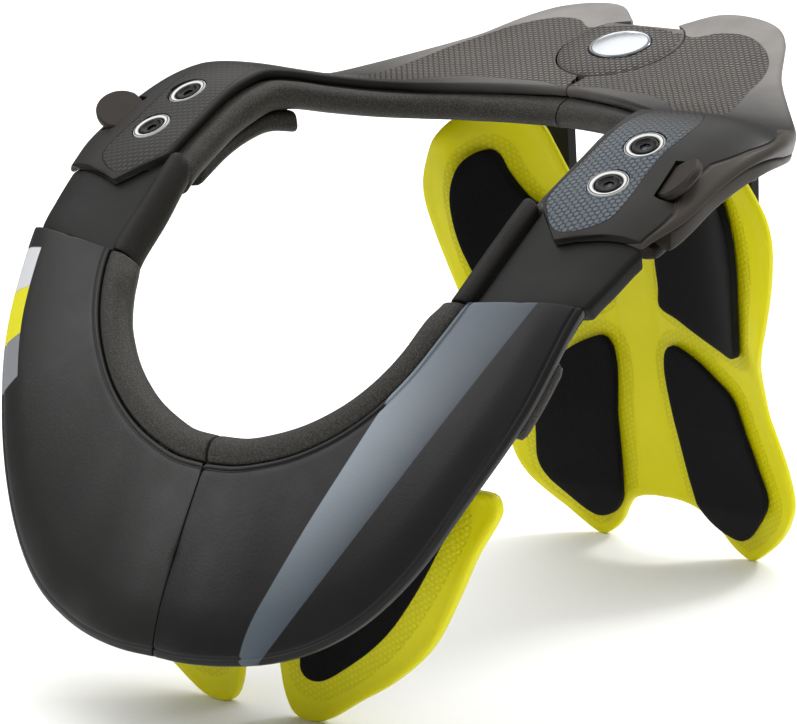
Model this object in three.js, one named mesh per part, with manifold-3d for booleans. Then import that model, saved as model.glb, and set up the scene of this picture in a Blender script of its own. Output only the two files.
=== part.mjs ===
// Motocross neck brace: two hinged collar halves on a padded back plate, millimetres, Z up.
// X is the wearer's left, -Y is the chest side, Z = 0 is the floor it stands on.
import * as THREE from "three";
import { mergeVertices } from "three/addons/utils/BufferGeometryUtils.js";
import Module from "manifold-3d";

const wasm = await Module();
wasm.setup();

const GAP = 0.3;
const FINE = 0.07;
const FLOOR = 0;
const MID_Y = 7.45;
const MARGIN = 4;
const DEEP = 40;

const SIZE = { half: 147, depth: 322, height: 223.4 };
const SHELL = { crown: 6.2, wall: 8 };

// Collar stations from the front seam to the rear seam, as shares: the inner and the outer edge of the
// half width, the depth and the height, the crown and the wall of the shell's own.
const STATIONS = [
  { in: [0.001, -0.3736, 0.4521], out: [0.001, -0.4758, 0.1625], crown: 0.48, wall: 0.5 },
  { in: [0.0952, -0.3714, 0.4557], out: [0.102, -0.4789, 0.1647], crown: 0.48, wall: 0.5 },
  { in: [0.1701, -0.3652, 0.4655], out: [0.2177, -0.472, 0.1701], crown: 0.48, wall: 0.5 },
  { in: [0.2517, -0.3559, 0.4816], out: [0.3401, -0.4565, 0.1817], crown: 0.48, wall: 0.5 },
  { in: [0.3286, -0.3441, 0.5049], out: [0.4626, -0.4394, 0.2104], crown: 0.48, wall: 0.5 },
  { in: [0.4, -0.3295, 0.5345], out: [0.5714, -0.4161, 0.2565], crown: 0.48, wall: 0.5 },
  { in: [0.4646, -0.3115, 0.5721], out: [0.6776, -0.3857, 0.3339], crown: 0.48, wall: 0.5 },
  { in: [0.5224, -0.2894, 0.6195], out: [0.7755, -0.3457, 0.4454], crown: 0.48, wall: 0.5 },
  { in: [0.5673, -0.2615, 0.6741], out: [0.8694, -0.2857, 0.5797], crown: 0.48, wall: 0.5 },
  { in: [0.5966, -0.228, 0.7247], out: [0.9184, -0.205, 0.7355], crown: 0.4, wall: 0.5 },
  { in: [0.6088, -0.1677, 0.7923], out: [0.9388, -0.1661, 0.7766], crown: 0.4, wall: 0.375 },
  { in: [0.6204, -0.1059, 0.8577], out: [0.9592, -0.1211, 0.8156], crown: 0.48, wall: 0.325 },
  { in: [0.6252, -0.0444, 0.9033], out: [0.9966, -0.0683, 0.846], crown: 0.65, wall: 0.35 },
  { in: [0.6286, 0.0006, 0.9338], out: [1, 0, 0.8841], crown: 0.94, wall: 0.35 },
  { in: [0.6231, 0.0329, 0.9508], out: [1, 0.0528, 0.9042], crown: 1, wall: 0.4 },
  { in: [0.6156, 0.0705, 0.9602], out: [0.9932, 0.1025, 0.9132], crown: 0.97, wall: 0.625 },
  { in: [0.5918, 0.1025, 0.9534], out: [0.966, 0.1429, 0.9109], crown: 0.81, wall: 0.812 },
  { in: [0.5442, 0.1429, 0.9378], out: [0.9184, 0.1863, 0.9042], crown: 0.58, wall: 0.875 },
  { in: [0.4762, 0.1894, 0.9221], out: [0.8639, 0.2267, 0.8975], crown: 0.32, wall: 0.938 },
  { in: [0.4014, 0.2283, 0.9127], out: [0.7993, 0.2686, 0.8953], crown: 0.24, wall: 1 },
  { in: [0.3129, 0.2516, 0.9109], out: [0.7177, 0.3106, 0.9087], crown: 0.16, wall: 1 },
  { in: [0.2517, 0.2649, 0.9105], out: [0.6075, 0.3671, 0.9302], crown: 0.16, wall: 1 },
  { in: [0.1905, 0.2764, 0.91], out: [0.5565, 0.396, 0.9409], crown: 0.16, wall: 1 },
  { in: [0.1429, 0.2835, 0.9096], out: [0.5109, 0.4273, 0.9521], crown: 0.16, wall: 1 },
  { in: [0.102, 0.2894, 0.9091], out: [0.4755, 0.454, 0.9651], crown: 0.16, wall: 1 },
  { in: [0.068, 0.2938, 0.9087], out: [0.4361, 0.4817, 0.9781], crown: 0.13, wall: 1 },
  { in: [0.0408, 0.2969, 0.9087], out: [0.3762, 0.5078, 0.9906], crown: 0.1, wall: 1 },
  { in: [0.0238, 0.2981, 0.9087], out: [0.2735, 0.5227, 0.9996], crown: 0.06, wall: 1 },
  { in: [0.0102, 0.2991, 0.9082], out: [0.1701, 0.5186, 1], crown: 0.05, wall: 1 },
  { in: [0.0014, 0.2997, 0.9082], out: [0.0857, 0.4888, 0.9848], crown: 0.03, wall: 1 },
];
const SEAM = 9;
const ARM = 11;
const REAR = STATIONS.length - 1;
const ARM_POINT = { at: 0.37, reach: 0.66 };

const HINGE = {
  y: 0.40994 * SIZE.depth, z: 0.95434 * SIZE.height, tilt: 17.3, radius: 26.4, disc: 6, flange: 28.5,
};
const BADGE = { rx: 13.6, ry: 11.4, rise: 1.8 };
const SCREWS = [
  { name: "rear", station: 12.9924, share: 0.3681, lift: -0.853 },
  { name: "front", station: 11.7615, share: 0.3822, lift: 0.112 },
];
const SCREW = { axis: [0.09, -0.42, 0.905], well: 8.2, washer: 7.8, head: 5, socket: 2.2 };
const LUG = {
  station: 12.4083, share: 0.8153, lift: 0.7025, out: 11.3, half: 9.8, thick: 3, lean: 32,
};
const STEM = { from: 1.8, to: 7, half: 5.5, deep: 9 };
const STRUT = { x: 46.5, back: 13.5, width: 14, thick: 5, foot: 84, lift: 1.5, bar: 4 };

// Strut rows from its foot on the plate to the crossbar: height share, inward share, share of the way back.
const STRUT_ROWS = [
  { up: 0, inward: 0.17, away: 0 },
  { up: 0.2, inward: 0.11, away: 0.06 },
  { up: 0.545, inward: 0.02, away: 1 },
  { up: 1, inward: 0, away: 1 },
];

const PLATE = {
  thick: 3.4, half: 86.8, height: HINGE.z - 28.2, back: 0.5 * SIZE.depth,
};

// Plate rows as shares of its height, its back and, for the bend at the wing's reach, its half width.
const WING = { x: 70, width: 14, lift: 8, from: 75, full: 105, fade: 172, to: 188 };
const PLATE_ROWS = [
  { z: -0.027, y: 1, bend: 0.0868 },
  { z: 0.0541, y: 0.9814, bend: 0.0868 },
  { z: 0.1297, y: 0.941, bend: 0.0955 },
  { z: 0.3243, y: 0.8913, bend: 0.1562 },
  { z: 0.4973, y: 0.8665, bend: 0.191 },
  { z: 0.7027, y: 0.8292, bend: 0.217 },
  { z: 0.8919, y: 0.795, bend: 0.2344 },
  { z: 1.027, y: 0.7733, bend: 0.243 },
];
const PLATE_OUTLINE = [
  [0, 0.1232], [0.1037, 0.1205], [0.1959, 0.1054], [0.2535, 0.0784], [0.3226, 0.0351],
  [0.3802, 0.0124], [0.4424, 0], [0.553, 0.0292], [0.7373, 0.1081], [0.8122, 0.1676], [0.8237, 0.2486],
  [0.7972, 0.3243], [0.7604, 0.3784], [0.7535, 0.4297], [0.7834, 0.4811], [0.8502, 0.5405],
  [0.9101, 0.6162], [0.9712, 0.7135], [1, 0.7946], [0.9862, 0.8459], [0.9389, 0.8973],
  [0.8756, 0.9459], [0.7834, 0.9892], [0.576, 1], [0.409, 0.9784], [0.3514, 0.9297], [0.2995, 0.8757],
  [0.2074, 0.7946], [0.1037, 0.7243], [0, 0.6973],
];
const UPPER_PAD = [
  [0.1843, 0.5919], [0.288, 0.5676], [0.3975, 0.5422], [0.5472, 0.5157], [0.6336, 0.507],
  [0.674, 0.5189], [0.7028, 0.5514], [0.7488, 0.627], [0.788, 0.6973], [0.803, 0.7514], [0.803, 0.8],
  [0.7834, 0.8432], [0.7304, 0.8919], [0.6452, 0.9178], [0.6048, 0.9081], [0.5703, 0.8649],
  [0.5184, 0.7811], [0.4263, 0.7405], [0.2995, 0.7135], [0.2247, 0.6865], [0.1912, 0.6378],
];
const LOWER_PAD = [
  [0.2016, 0.4995], [0.1647, 0.4865], [0.1452, 0.4432], [0.1786, 0.2973], [0.2074, 0.173],
  [0.2362, 0.1108], [0.3226, 0.0649], [0.432, 0.0508], [0.5588, 0.0973], [0.6682, 0.1649],
  [0.6486, 0.2476], [0.5991, 0.3459], [0.5507, 0.4054], [0.4608, 0.4378], [0.3571, 0.4719],
];
const PAD_THICK = { upper: 5.4, lower: 3.2 };

const FLAP = {
  thick: 4.5, reach: 105.7, y: -0.29193 * SIZE.depth, wrap: 0.0423,
  height: STATIONS[3].in[2] * SIZE.height - 8.6,
};
const FLAP_LEAN = { by: 18, from: 40, to: 96 };
const WEB = { from: 1.9, to: 4.4, foot: 0.79, half: 9 };
const FLAP_OUTLINE = [
  [0.0946, 0.1616], [0.1164, 0.0657], [0.1419, 0.0222], [0.1798, 0.002], [0.2176, 0], [0.2838, 0.0263],
  [0.4352, 0.1091], [0.5866, 0.2071], [0.7616, 0.3586], [0.8657, 0.5202], [0.9395, 0.697],
  [0.9839, 0.8636], [1, 0.9394], [0.9839, 0.9899], [0.9082, 1], [0.5676, 0.9848], [0.0946, 0.9697],
];
const FLAP_PAD = [
  [0.1892, 0.2222], [0.1798, 0.1717], [0.2081, 0.1374], [0.2649, 0.1354], [0.4163, 0.2121],
  [0.5582, 0.3131], [0.6906, 0.4596], [0.7711, 0.6061], [0.8231, 0.7727], [0.8325, 0.8788],
  [0.8089, 0.9242], [0.6623, 0.9192], [0.3784, 0.8687], [0.2176, 0.8081],
];

const COLOURS = {
  shell: 0x26272a, carbon: 0x3b3734, plastic: 0x2a2927, foam: 0x36322f, leather: 0x2c2b28,
  yellow: 0xdcd81c, steel: 0x55575a, ring: 0xe6e6e6, badge: 0xe9ebec, pad: 0x1d1e22,
};
const material = (name, roughness = 0.6) =>
  Object.assign(new THREE.MeshStandardMaterial({ color: COLOURS[name], roughness }), { name });

const scaled = ([x, y, z]) => new THREE.Vector3(x * SIZE.half, y * SIZE.depth, z * SIZE.height);
const curve = (key) => new THREE.CatmullRomCurve3(STATIONS.map((s) => scaled(s[key])));
const INNER = curve("in");
const OUTER = curve("out");

function number(key, k) {
  const i = Math.min(Math.floor(k), REAR - 1);
  return SHELL[key] * THREE.MathUtils.lerp(STATIONS[i][key], STATIONS[i + 1][key], k - i);
}

// Frame of the collar at station k: inner point, outer point, across and up directions.
function frame(k) {
  const t = THREE.MathUtils.clamp(k / REAR, 0, 1);
  const a = INNER.getPoint(t);
  const b = OUTER.getPoint(t);
  const across = b.clone().sub(a).normalize();
  const next = INNER.getPoint(Math.min(t + 0.004, 1)).add(OUTER.getPoint(Math.min(t + 0.004, 1)));
  const last = INNER.getPoint(Math.max(t - 0.004, 0)).add(OUTER.getPoint(Math.max(t - 0.004, 0)));
  const up = across.clone().cross(next.sub(last)).normalize();
  const upright = THREE.MathUtils.smoothstep(k, SEAM, ARM + 1);
  up.lerp(new THREE.Vector3(0, 0, 1), upright).normalize();
  return { a, b, across, up };
}

const crownAt = (f) => {
  const x = THREE.MathUtils.clamp(f, 0, 1);
  return x < 0.7 ? Math.sin((x / 0.7) * (Math.PI / 2)) : 1 - ((x - 0.7) / 0.3) ** 2;
};

// One point of the collar: share f from inner to outer edge, then b mm across and v mm up.
function collarPoint(k, f, b = 0, v = 0) {
  const { a, b: o, across, up } = frame(k);
  const point = a.lerp(o, f).addScaledVector(across, b);
  return point.addScaledVector(up, v + number("crown", k) * crownAt(f));
}

function polygonArea(points) {
  return points.reduce((sum, [x, y], i) => {
    const [u, v] = points[(i + 1) % points.length];
    return sum + x * v - u * y;
  }, 0);
}

// Closed solid through rings of equal length; `flat` is the first ring in two dimensions.
function loft(rings, flat, flatEnd = flat) {
  const m = rings[0].length;
  const positions = rings.flat().flatMap((p) => [p.x, p.y, p.z]);
  const index = [];
  for (let i = 0; i < rings.length - 1; i++) {
    for (let j = 0; j < m; j++) {
      const p = i * m + j;
      const q = i * m + ((j + 1) % m);
      index.push(p, q, q + m, p, q + m, p + m);
    }
  }
  const caps = (outline) => THREE.ShapeUtils.triangulateShape(
    outline.map(([x, y]) => new THREE.Vector2(x, y)), []);
  const turned = (points) => (polygonArea(points) > 0 ? 1 : -1);
  const end = (rings.length - 1) * m;
  for (const [p, q, r] of caps(flat)) {
    index.push(...(turned(flat) > 0 ? [p, r, q] : [p, q, r]));
  }
  for (const [p, q, r] of caps(flatEnd)) {
    index.push(...(turned(flatEnd) > 0 ? [end + p, end + q, end + r] : [end + p, end + r, end + q]));
  }
  const geometry = new THREE.BufferGeometry();
  geometry.setAttribute("position", new THREE.Float32BufferAttribute(positions, 3));
  geometry.setIndex(index);
  return outward(geometry);
}

function volume(geometry) {
  const p = geometry.getAttribute("position");
  const v = [0, 1, 2].map(() => new THREE.Vector3());
  let sum = 0;
  for (let i = 0; i < geometry.index.count; i += 3) {
    v.forEach((x, j) => x.fromBufferAttribute(p, geometry.index.getX(i + j)));
    sum += v[0].dot(v[1].clone().cross(v[2]));
  }
  return sum / 6;
}

function outward(geometry) {
  if (volume(geometry) < 0) flip(geometry);
  return geometry;
}

function flip(geometry) {
  const index = geometry.index;
  for (let i = 0; i < index.count; i += 3) {
    const second = index.getX(i + 1);
    index.setX(i + 1, index.getX(i + 2));
    index.setX(i + 2, second);
  }
  return geometry;
}

const toManifold = (geometry) => {
  const clean = geometry.clone();
  clean.deleteAttribute("normal");
  clean.deleteAttribute("uv");
  const merged = mergeVertices(clean, 1e-4);
  return new wasm.Manifold(new wasm.Mesh({
    numProp: 3,
    vertProperties: new Float32Array(merged.getAttribute("position").array),
    triVerts: new Uint32Array(merged.index.array),
  }));
};
const fromManifold = (manifold) => {
  const mesh = manifold.simplify(FINE).getMesh();
  const geometry = new THREE.BufferGeometry();
  geometry.setAttribute("position", new THREE.Float32BufferAttribute(mesh.vertProperties, 3));
  geometry.setIndex(Array.from(mesh.triVerts));
  return geometry;
};
const cut = (body, ...tools) => tools.reduce((m, t) => m.subtract(toManifold(t)), toManifold(body));
const join = (...bodies) => bodies.map(toManifold).reduce((m, n) => m.add(n));
const size = (manifold) => Math.abs(volume(fromManifold(manifold)));
const largest = (manifold) => manifold.decompose().sort((p, q) => size(q) - size(p))[0];

const ease = (t) => t * t * (3 - 2 * t);

// Collar piece between stations k0 and k1; the section lists [share, mm across, mm up, wall share].
function sweep(k0, k1, steps, section, shape = {}) {
  const { point = false, taper = 0 } = shape;
  const start = (f) => {
    if (!point) return k0;
    const x = THREE.MathUtils.clamp(f, 0, 1);
    const peak = x < ARM_POINT.at ? x / ARM_POINT.at : (1 - x) / (1 - ARM_POINT.at);
    return k0 - ARM_POINT.reach * peak;
  };
  const rings = [];
  for (let i = 0; i <= steps; i++) {
    const t = i / steps;
    const swell = taper ? Math.min(1, 0.45 + 0.55 * ease(Math.min(1, Math.min(t, 1 - t) / taper))) : 1;
    rings.push(section.map(([f, b, v, w = 0]) => {
      const k = start(f) + (k1 - start(f)) * t;
      const middle = shape.middle ?? 0;
      return collarPoint(k, f, b, middle + (v - middle) * swell - w * number("wall", k));
    }));
  }
  const wide = OUTER.getPoint(k0 / REAR).distanceTo(INNER.getPoint(k0 / REAR));
  const flat = section.map(([f, b, v, w = 0]) => [f * wide + b, v - w * number("wall", k0)]);
  return loft(rings, flat);
}

const mirrored = (geometry) => flip(geometry.clone().scale(-1, 1, 1));

function shapeOf(points) {
  return new THREE.Shape(points.map(([x, y]) => new THREE.Vector2(x, y)));
}

// Prism along Y over an outline in X and Z.
function prism(points, y0, y1) {
  const geometry = new THREE.ExtrudeGeometry(shapeOf(points), { depth: y1 - y0, bevelEnabled: false });
  geometry.rotateX(Math.PI / 2);
  geometry.translate(0, y1, 0);
  return geometry;
}

// Sheet over X and Z following a surface y = fn(x, z), from near to far offset along Y.
function sheet(fn, xs, zs, near, far) {
  const positions = [];
  for (const offset of [near, far]) {
    for (const z of zs) for (const x of xs) positions.push(x, fn(x, z) + offset, z);
  }
  const w = xs.length;
  const h = zs.length;
  const index = [];
  const quad = (a, b, c, d) => index.push(a, b, c, a, c, d);
  for (let j = 0; j < h - 1; j++) {
    for (let i = 0; i < w - 1; i++) {
      const p = j * w + i;
      quad(p, p + 1, p + w + 1, p + w);
      const q = p + w * h;
      quad(q, q + w, q + w + 1, q + 1);
    }
  }
  for (let i = 0; i < w - 1; i++) {
    const top = (h - 1) * w + i;
    quad(i + 1, i, i + w * h, i + 1 + w * h);
    quad(top, top + 1, top + 1 + w * h, top + w * h);
  }
  for (let j = 0; j < h - 1; j++) {
    const p = j * w;
    const q = p + w - 1;
    quad(p, p + w, p + w + w * h, p + w * h);
    quad(q + w, q, q + w * h, q + w + w * h);
  }
  const geometry = new THREE.BufferGeometry();
  geometry.setAttribute("position", new THREE.Float32BufferAttribute(positions, 3));
  geometry.setIndex(index);
  return outward(geometry);
}

const range = (from, to, count) =>
  Array.from({ length: count + 1 }, (_, i) => from + ((to - from) * i) / count);

function rowValue(key, z) {
  const share = Math.min(z / PLATE.height, PLATE_ROWS.at(-1).z);
  const i = Math.max(0, Math.min(PLATE_ROWS.findIndex((r) => r.z >= share) - 1, PLATE_ROWS.length - 2));
  const [p, q] = [PLATE_ROWS[i], PLATE_ROWS[i + 1]];
  return THREE.MathUtils.lerp(p[key], q[key], (share - p.z) / (q.z - p.z));
}
const plateY = (x, z) => {
  const { smoothstep } = THREE.MathUtils;
  const band = smoothstep(z, WING.from, WING.full) * (1 - smoothstep(z, WING.fade, WING.to));
  const lift = WING.lift * band * Math.exp(-(((Math.abs(x) - WING.x) / WING.width) ** 2));
  return PLATE.back * rowValue("y", z) - (rowValue("bend", z) * x * x) / PLATE.half - lift;
};
const flapY = (x, z) => {
  const rise = THREE.MathUtils.smoothstep(z, FLAP_LEAN.from, FLAP_LEAN.to);
  const inner = THREE.MathUtils.clamp(1 - x / (FLAP.reach + FLAP.thick), 0, 1);
  return FLAP.y + (FLAP.wrap * x * x) / FLAP.reach - FLAP_LEAN.by * rise * inner;
};

function plated(fn, outline, near, far, xs, zs) {
  const ys = outline.map(([x, z]) => fn(x, z));
  const solid = toManifold(prism(outline, Math.min(...ys) - DEEP, Math.max(...ys) + DEEP));
  return solid.intersect(toManifold(sheet(fn, xs, zs, near, far)));
}

const UP_Y = new THREE.Vector3(0, 1, 0);
const ORIGIN = new THREE.Vector3();

// Disc or ring about an axis: radius pairs [r, height] revolved, then placed.
function turned(profile, segments, at, axis) {
  const closed = profile[0][0] > 0 ? [...profile, profile[0]] : profile;
  const points = closed.map(([r, h]) => new THREE.Vector2(r, h));
  const geometry = mergeVertices(new THREE.LatheGeometry(points, segments).deleteAttribute("uv"), 1e-4);
  geometry.deleteAttribute("normal");
  const clean = mergeVertices(geometry, 1e-4);
  dropThin(clean);
  const turn = new THREE.Quaternion().setFromUnitVectors(UP_Y, axis.clone().normalize());
  clean.applyQuaternion(turn);
  clean.translate(at.x, at.y, at.z);
  return outward(clean);
}

function dropThin(geometry) {
  const old = geometry.index.array;
  const keep = [];
  for (let i = 0; i < old.length; i += 3) {
    const [p, q, r] = [old[i], old[i + 1], old[i + 2]];
    if (p !== q && q !== r && p !== r) keep.push(p, q, r);
  }
  geometry.setIndex(keep);
}

const nodes = [];
function add(name, body, look) {
  const geometry = body instanceof THREE.BufferGeometry ? body : fromManifold(body);
  nodes.push({ name, geometry, look });
}
function pair(name, body, look) {
  const geometry = body instanceof THREE.BufferGeometry ? body : fromManifold(body);
  add(`${name}_left`, geometry, look);
  add(`${name}_right`, mirrored(geometry), look);
}

const v3 = (p) => new THREE.Vector3(...p);
const tilt = THREE.MathUtils.degToRad(HINGE.tilt);
const hingeAxis = new THREE.Vector3(0, -Math.sin(tilt), Math.cos(tilt));
const hingeAt = new THREE.Vector3(0, HINGE.y, HINGE.z);
const alongHinge = (h) => hingeAt.clone().addScaledVector(hingeAxis, h);

// Front bib half.
const bibSection = [
  [0, 0, 0], [0.3, 0, 0], [0.6, 0, 0], [0.9, 0, 0], [1, 0, -0.6], [1, -0.6, -4.2],
  [0.6, 0, -4], [0, 0, -4],
];
const bib = sweep(0, SEAM - 0.02, 20, bibSection);

// Foam rolls along the neck opening and the smooth sleeve between them.
const frontRoll = [
  [0, -0.4, -1], [0, -0.4, -9], [0, -3, -12.4], [0, -8, -12.2], [0, -11.4, -8], [0, -11.6, -3.5],
  [0, -9, 0.2], [0, -4, 0.8],
];
const sleeveRoll = [
  [0, -0.4, -1], [0, -0.4, -10], [0, -3, -14], [0, -7.5, -13], [0, -9.4, -8], [0, -9, -3],
  [0, -6.5, 0.4], [0, -3, 0.9],
];
const rearRoll = [
  [0, 5, -4.9], [0, 5, -13.5, -0.3], [0, 2, -19.9, -0.65], [0, -4, -19.9, -0.65],
  [0, -7.4, -15, -0.4], [0, -7.6, -8.5],
  [0, -5, -5], [0, 0, -4.5],
];
const frontPad = sweep(0.02, SEAM - 0.03, 13, frontRoll);
const sleeve = sweep(SEAM + 0.02, ARM - 0.05, 6, sleeveRoll);

// Connector beam whose tongue runs under the arm of the rear cover.
const beam = sweep(SEAM + 0.03, ARM - 0.03, 6, [
  [0.01, 0, -3.2], [0.35, 0, -3.2], [0.7, 0, -3.2], [0.96, 0, -3.2], [0.99, 0, -4.2], [0.985, 0, -10],
  [0.9, 0, -12], [0.5, 0, -12], [0.06, 0, -12], [0.01, 0, -10],
]);
const tongue = sweep(ARM - 0.4, ARM + 3, 9, [
  [0.16, 0, -3.6], [0.35, 0, -3.6], [0.7, 0, -3.6], [0.82, 0, -3.8], [0.82, 0, -8], [0.5, 0, -8],
  [0.16, 0, -8],
]);
const screwAxis = v3(SCREW.axis).normalize();
const screwsAt = SCREWS.map(({ station, share, lift }) => collarPoint(station, share, 0, lift));
const shanks = screwsAt.map((at) =>
  turned([[0, -14], [2.9, -14], [2.9, 2], [0, 2]], 8, at, screwAxis));
const connector = join(beam, tongue).subtract(shanks.map(toManifold).reduce((m, n) => m.add(n)));

// Rear cover half: arm, shoulder and lobe in one shell round the hinge disc.
const coverSection = [
  [0, 0, 0], [0.35, 0, 0], [0.7, 0, 0], [0.87, 0, 0], [1, -0.8, 0], [1, 0.2, -2.2],
  [1, -1.5, -0.6, 1], [0.87, 0, 0, 1], [0.7, 0, 0, 1], [0.35, 0, 0, 1], [0, 7.5, 0, 1],
  [0, 6, -4.1], [0, 0, -4.1],
];
const coverRaw = sweep(ARM, REAR, 25, coverSection, { point: true });
const wells = screwsAt.map((at) =>
  turned([[0, -1.6], [SCREW.well, -1.6], [SCREW.well, 6], [0, 6]], 18, at, screwAxis));
const discHole = turned(
  [[0, -20], [HINGE.radius, -20], [HINGE.radius, 12], [0, 12]], 32, hingeAt, hingeAxis);
const centreCut = new THREE.BoxGeometry(DEEP, 2 * SIZE.depth, 2 * SIZE.depth);
centreCut.translate((GAP - DEEP) / 2, 0, 0);

// Half-round strap lug on the outer side of the arm, with the stem that roots it.
function strapLug(grow) {
  const arc = range(-90, 90, 10).map((degrees) => {
    const a = THREE.MathUtils.degToRad(degrees);
    return [(LUG.out + grow) * Math.cos(a), (LUG.half + grow) * Math.sin(a)];
  });
  const depth = LUG.thick + 2 * grow;
  const plate = new THREE.ExtrudeGeometry(shapeOf(arc), { depth, bevelEnabled: false });
  plate.translate(-grow, 0, -depth / 2);
  const stem = new THREE.BoxGeometry(STEM.to - STEM.from + 2 * grow, 2 * (STEM.half + grow), STEM.deep);
  stem.translate((STEM.from + STEM.to) / 2, 0, -STEM.deep / 2);
  const lean = THREE.MathUtils.degToRad(LUG.lean);
  const at = collarPoint(LUG.station, LUG.share, 0, LUG.lift);
  return [plate, stem].map((part) => part.rotateX(lean).translate(at.x, at.y, at.z));
}
const cover = largest(cut(coverRaw, ...wells, ...shanks, discHole, centreCut, ...strapLug(GAP)));

// Lower shell under the arm and shoulder.
const baseSection = [
  [0, 8, -0.5, 1.04], [0.35, 0, -0.5, 1.04], [0.7, 0, -0.5, 1.04], [0.87, 0, -0.5, 1.04],
  [1, -1.7, -1.1, 1.04], [0.98, -1.6, -12.5, -0.15], [0.9, 0, -15, -0.38],
  [0, 8, -15.5, -0.38],
];
const baseRaw = sweep(ARM + 0.75, 19.6, 14, baseSection);
const tongueRoom = sweep(ARM - 0.5, ARM + 3.06, 9, [
  [0.15, -0.2, -2], [0.35, 0, -2], [0.7, 0, -2], [0.83, 0.2, -2], [0.83, 0.2, -8.4], [0.5, 0, -8.4],
  [0.15, -0.2, -8.4],
]);
const rearPadRaw = sweep(ARM + 0.02, REAR, 22, rearRoll);
const rearPad = cut(rearPadRaw, centreCut);
const lugSolid = strapLug(0).map(toManifold);
const base = largest(lugSolid.reduce((m, n) => m.add(n), cut(baseRaw, tongueRoom, ...shanks)));

// Foam under the shoulder side, and under the rim of the bib.
const shoulderPad = sweep(ARM + 0.8, 16.1, 10, [
  [0, -1, -20.7, -0.65], [0, 6.4, -20.7, -0.65], [0, 8.6, -16.4, -0.38], [0.8, 0, -18.8, -0.38],
  [0.8, 0, -21], [0.7, 0, -24], [0.3, 0, -25.5], [0, 0, -25], [0, -2, -23],
]);
const rimPad = sweep(7.65, 8.6, 5, [
  [0.6, 0, -4.5], [1, 0, -4.8], [1, 1.6, -6.5], [1, 1.4, -9.5],
  [0.97, 0, -11.5], [0.6, 0, -11],
]);

// Hinge bridge under the disc, with the two struts that carry the back plate.
const disc = turned(
  [[0, -HINGE.disc], [HINGE.radius - GAP, -HINGE.disc], [HINGE.radius - GAP, 0.4],
    [HINGE.radius - 0.9, 0.9], [0, 1.2]], 32, hingeAt, hingeAxis);
const badgeWell = turned([[0, -2], [1, -2], [1, 6], [0, 6]], 28, ORIGIN, UP_Y);
const badgeTurn = new THREE.Quaternion().setFromUnitVectors(UP_Y, hingeAxis);
const placeBadge = (geometry, grow) => geometry.clone()
  .scale(BADGE.rx + grow, 1, BADGE.ry + grow).applyQuaternion(badgeTurn).translate(0, HINGE.y, HINGE.z);
const bevel = new THREE.BoxGeometry(80, 30, 12).rotateX(tilt - THREE.MathUtils.degToRad(30))
  .translate(0, HINGE.y + 30, HINGE.z + 9.2);
const discBody = cut(disc, placeBadge(badgeWell, GAP), bevel);
const badge = placeBadge(turned(
  [[0, -1.7], [1, -1.7], [1, 1.6], [0.93, 2.3], [0.7, BADGE.rise], [0, BADGE.rise + 0.6]],
  28, ORIGIN, UP_Y), 0);

const hub = turned(
  [[0, -13.5], [HINGE.flange, -13.5], [HINGE.flange, -9.6], [HINGE.radius - 2, -9.6],
    [HINGE.radius - 2, -HINGE.disc - GAP], [0, -HINGE.disc - GAP]], 28, hingeAt, hingeAxis);
const barY = HINGE.y + STRUT.back;
const crossbar = new THREE.BoxGeometry(2 * STRUT.x + STRUT.width, STRUT.width, STRUT.bar).rotateX(tilt)
  .translate(0, barY - STRUT.width / 4, HINGE.z - HINGE.disc - GAP - STRUT.bar * 0.575);
const strutRings = STRUT_ROWS.map(({ up, inward, away }) => {
  const z = THREE.MathUtils.lerp(STRUT.foot, HINGE.z - HINGE.disc - STRUT.bar / 2 + GAP, up);
  const x = STRUT.x * (1 - inward);
  const onPlate = plateY(x - STRUT.width / 2, z) + PLATE.thick + GAP;
  const back = THREE.MathUtils.lerp(onPlate, barY, away);
  return [[-0.5, 0], [0.5, 0], [0.5, 1], [-0.5, 1]]
    .map(([u, w]) => new THREE.Vector3(x + u * STRUT.width, back + w * STRUT.thick, z));
});
const strut = loft(strutRings, [[0, 0], [1, 0], [1, 1], [0, 1]]);
const bridge = join(hub, crossbar, strut, mirrored(strut));

// Back plate with its four pads.
const sized = (points, width, height) => points.map(([x, z]) => [x * width, z * height]);
const plateHalf = sized(PLATE_OUTLINE, PLATE.half, PLATE.height);
const full = [...plateHalf.slice(1, -1).map(([x, z]) => [-x, z]).reverse(), ...plateHalf];
const wings = range(-PLATE.half - MARGIN, PLATE.half + MARGIN, 10);
const rows = range(-MARGIN, PLATE.height + MARGIN, 10);
const plateBlock = plated(plateY, full, 0, PLATE.thick, wings, rows);
const plateSolid = plateBlock.subtract(bridge);
const halfX = range(0, PLATE.half + MARGIN, 5);
const upperOutline = sized(UPPER_PAD, PLATE.half, PLATE.height);
const lowerOutline = sized(LOWER_PAD, PLATE.half, PLATE.height);
const upperPad = plated(plateY, upperOutline, -PAD_THICK.upper, -GAP, halfX, rows);
const lowerPad = plated(plateY, lowerOutline, -PAD_THICK.lower, -GAP, halfX, rows);

// Chest flaps with a pad on each face, and the frame that hangs them under the bib.
const flapX = range(MARGIN, FLAP.reach + 2 * MARGIN, 4);
const flapZ = range(-MARGIN, FLAP.height + MARGIN, 6);
const flapOutline = sized(FLAP_OUTLINE, FLAP.reach, FLAP.height);
const flapPad = sized(FLAP_PAD, FLAP.reach, FLAP.height);
const grown = (points, by) => {
  const shape = points.map(([x, y], i) => {
    const [ax, ay] = points[(i + points.length - 1) % points.length];
    const [bx, by2] = points[(i + 1) % points.length];
    const n = new THREE.Vector2(by2 - ay, ax - bx).normalize();
    return [x + n.x * by, y + n.y * by];
  });
  return shape;
};
const flapBody = plated(flapY, flapOutline, -FLAP.thick / 2, FLAP.thick / 2, flapX, flapZ);
const flapWell = plated(flapY, grown(flapPad, GAP), -6, -0.2, flapX, flapZ);
const flapWellBack = plated(flapY, grown(flapPad, GAP), 0.8, 6, flapX, flapZ);
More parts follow.
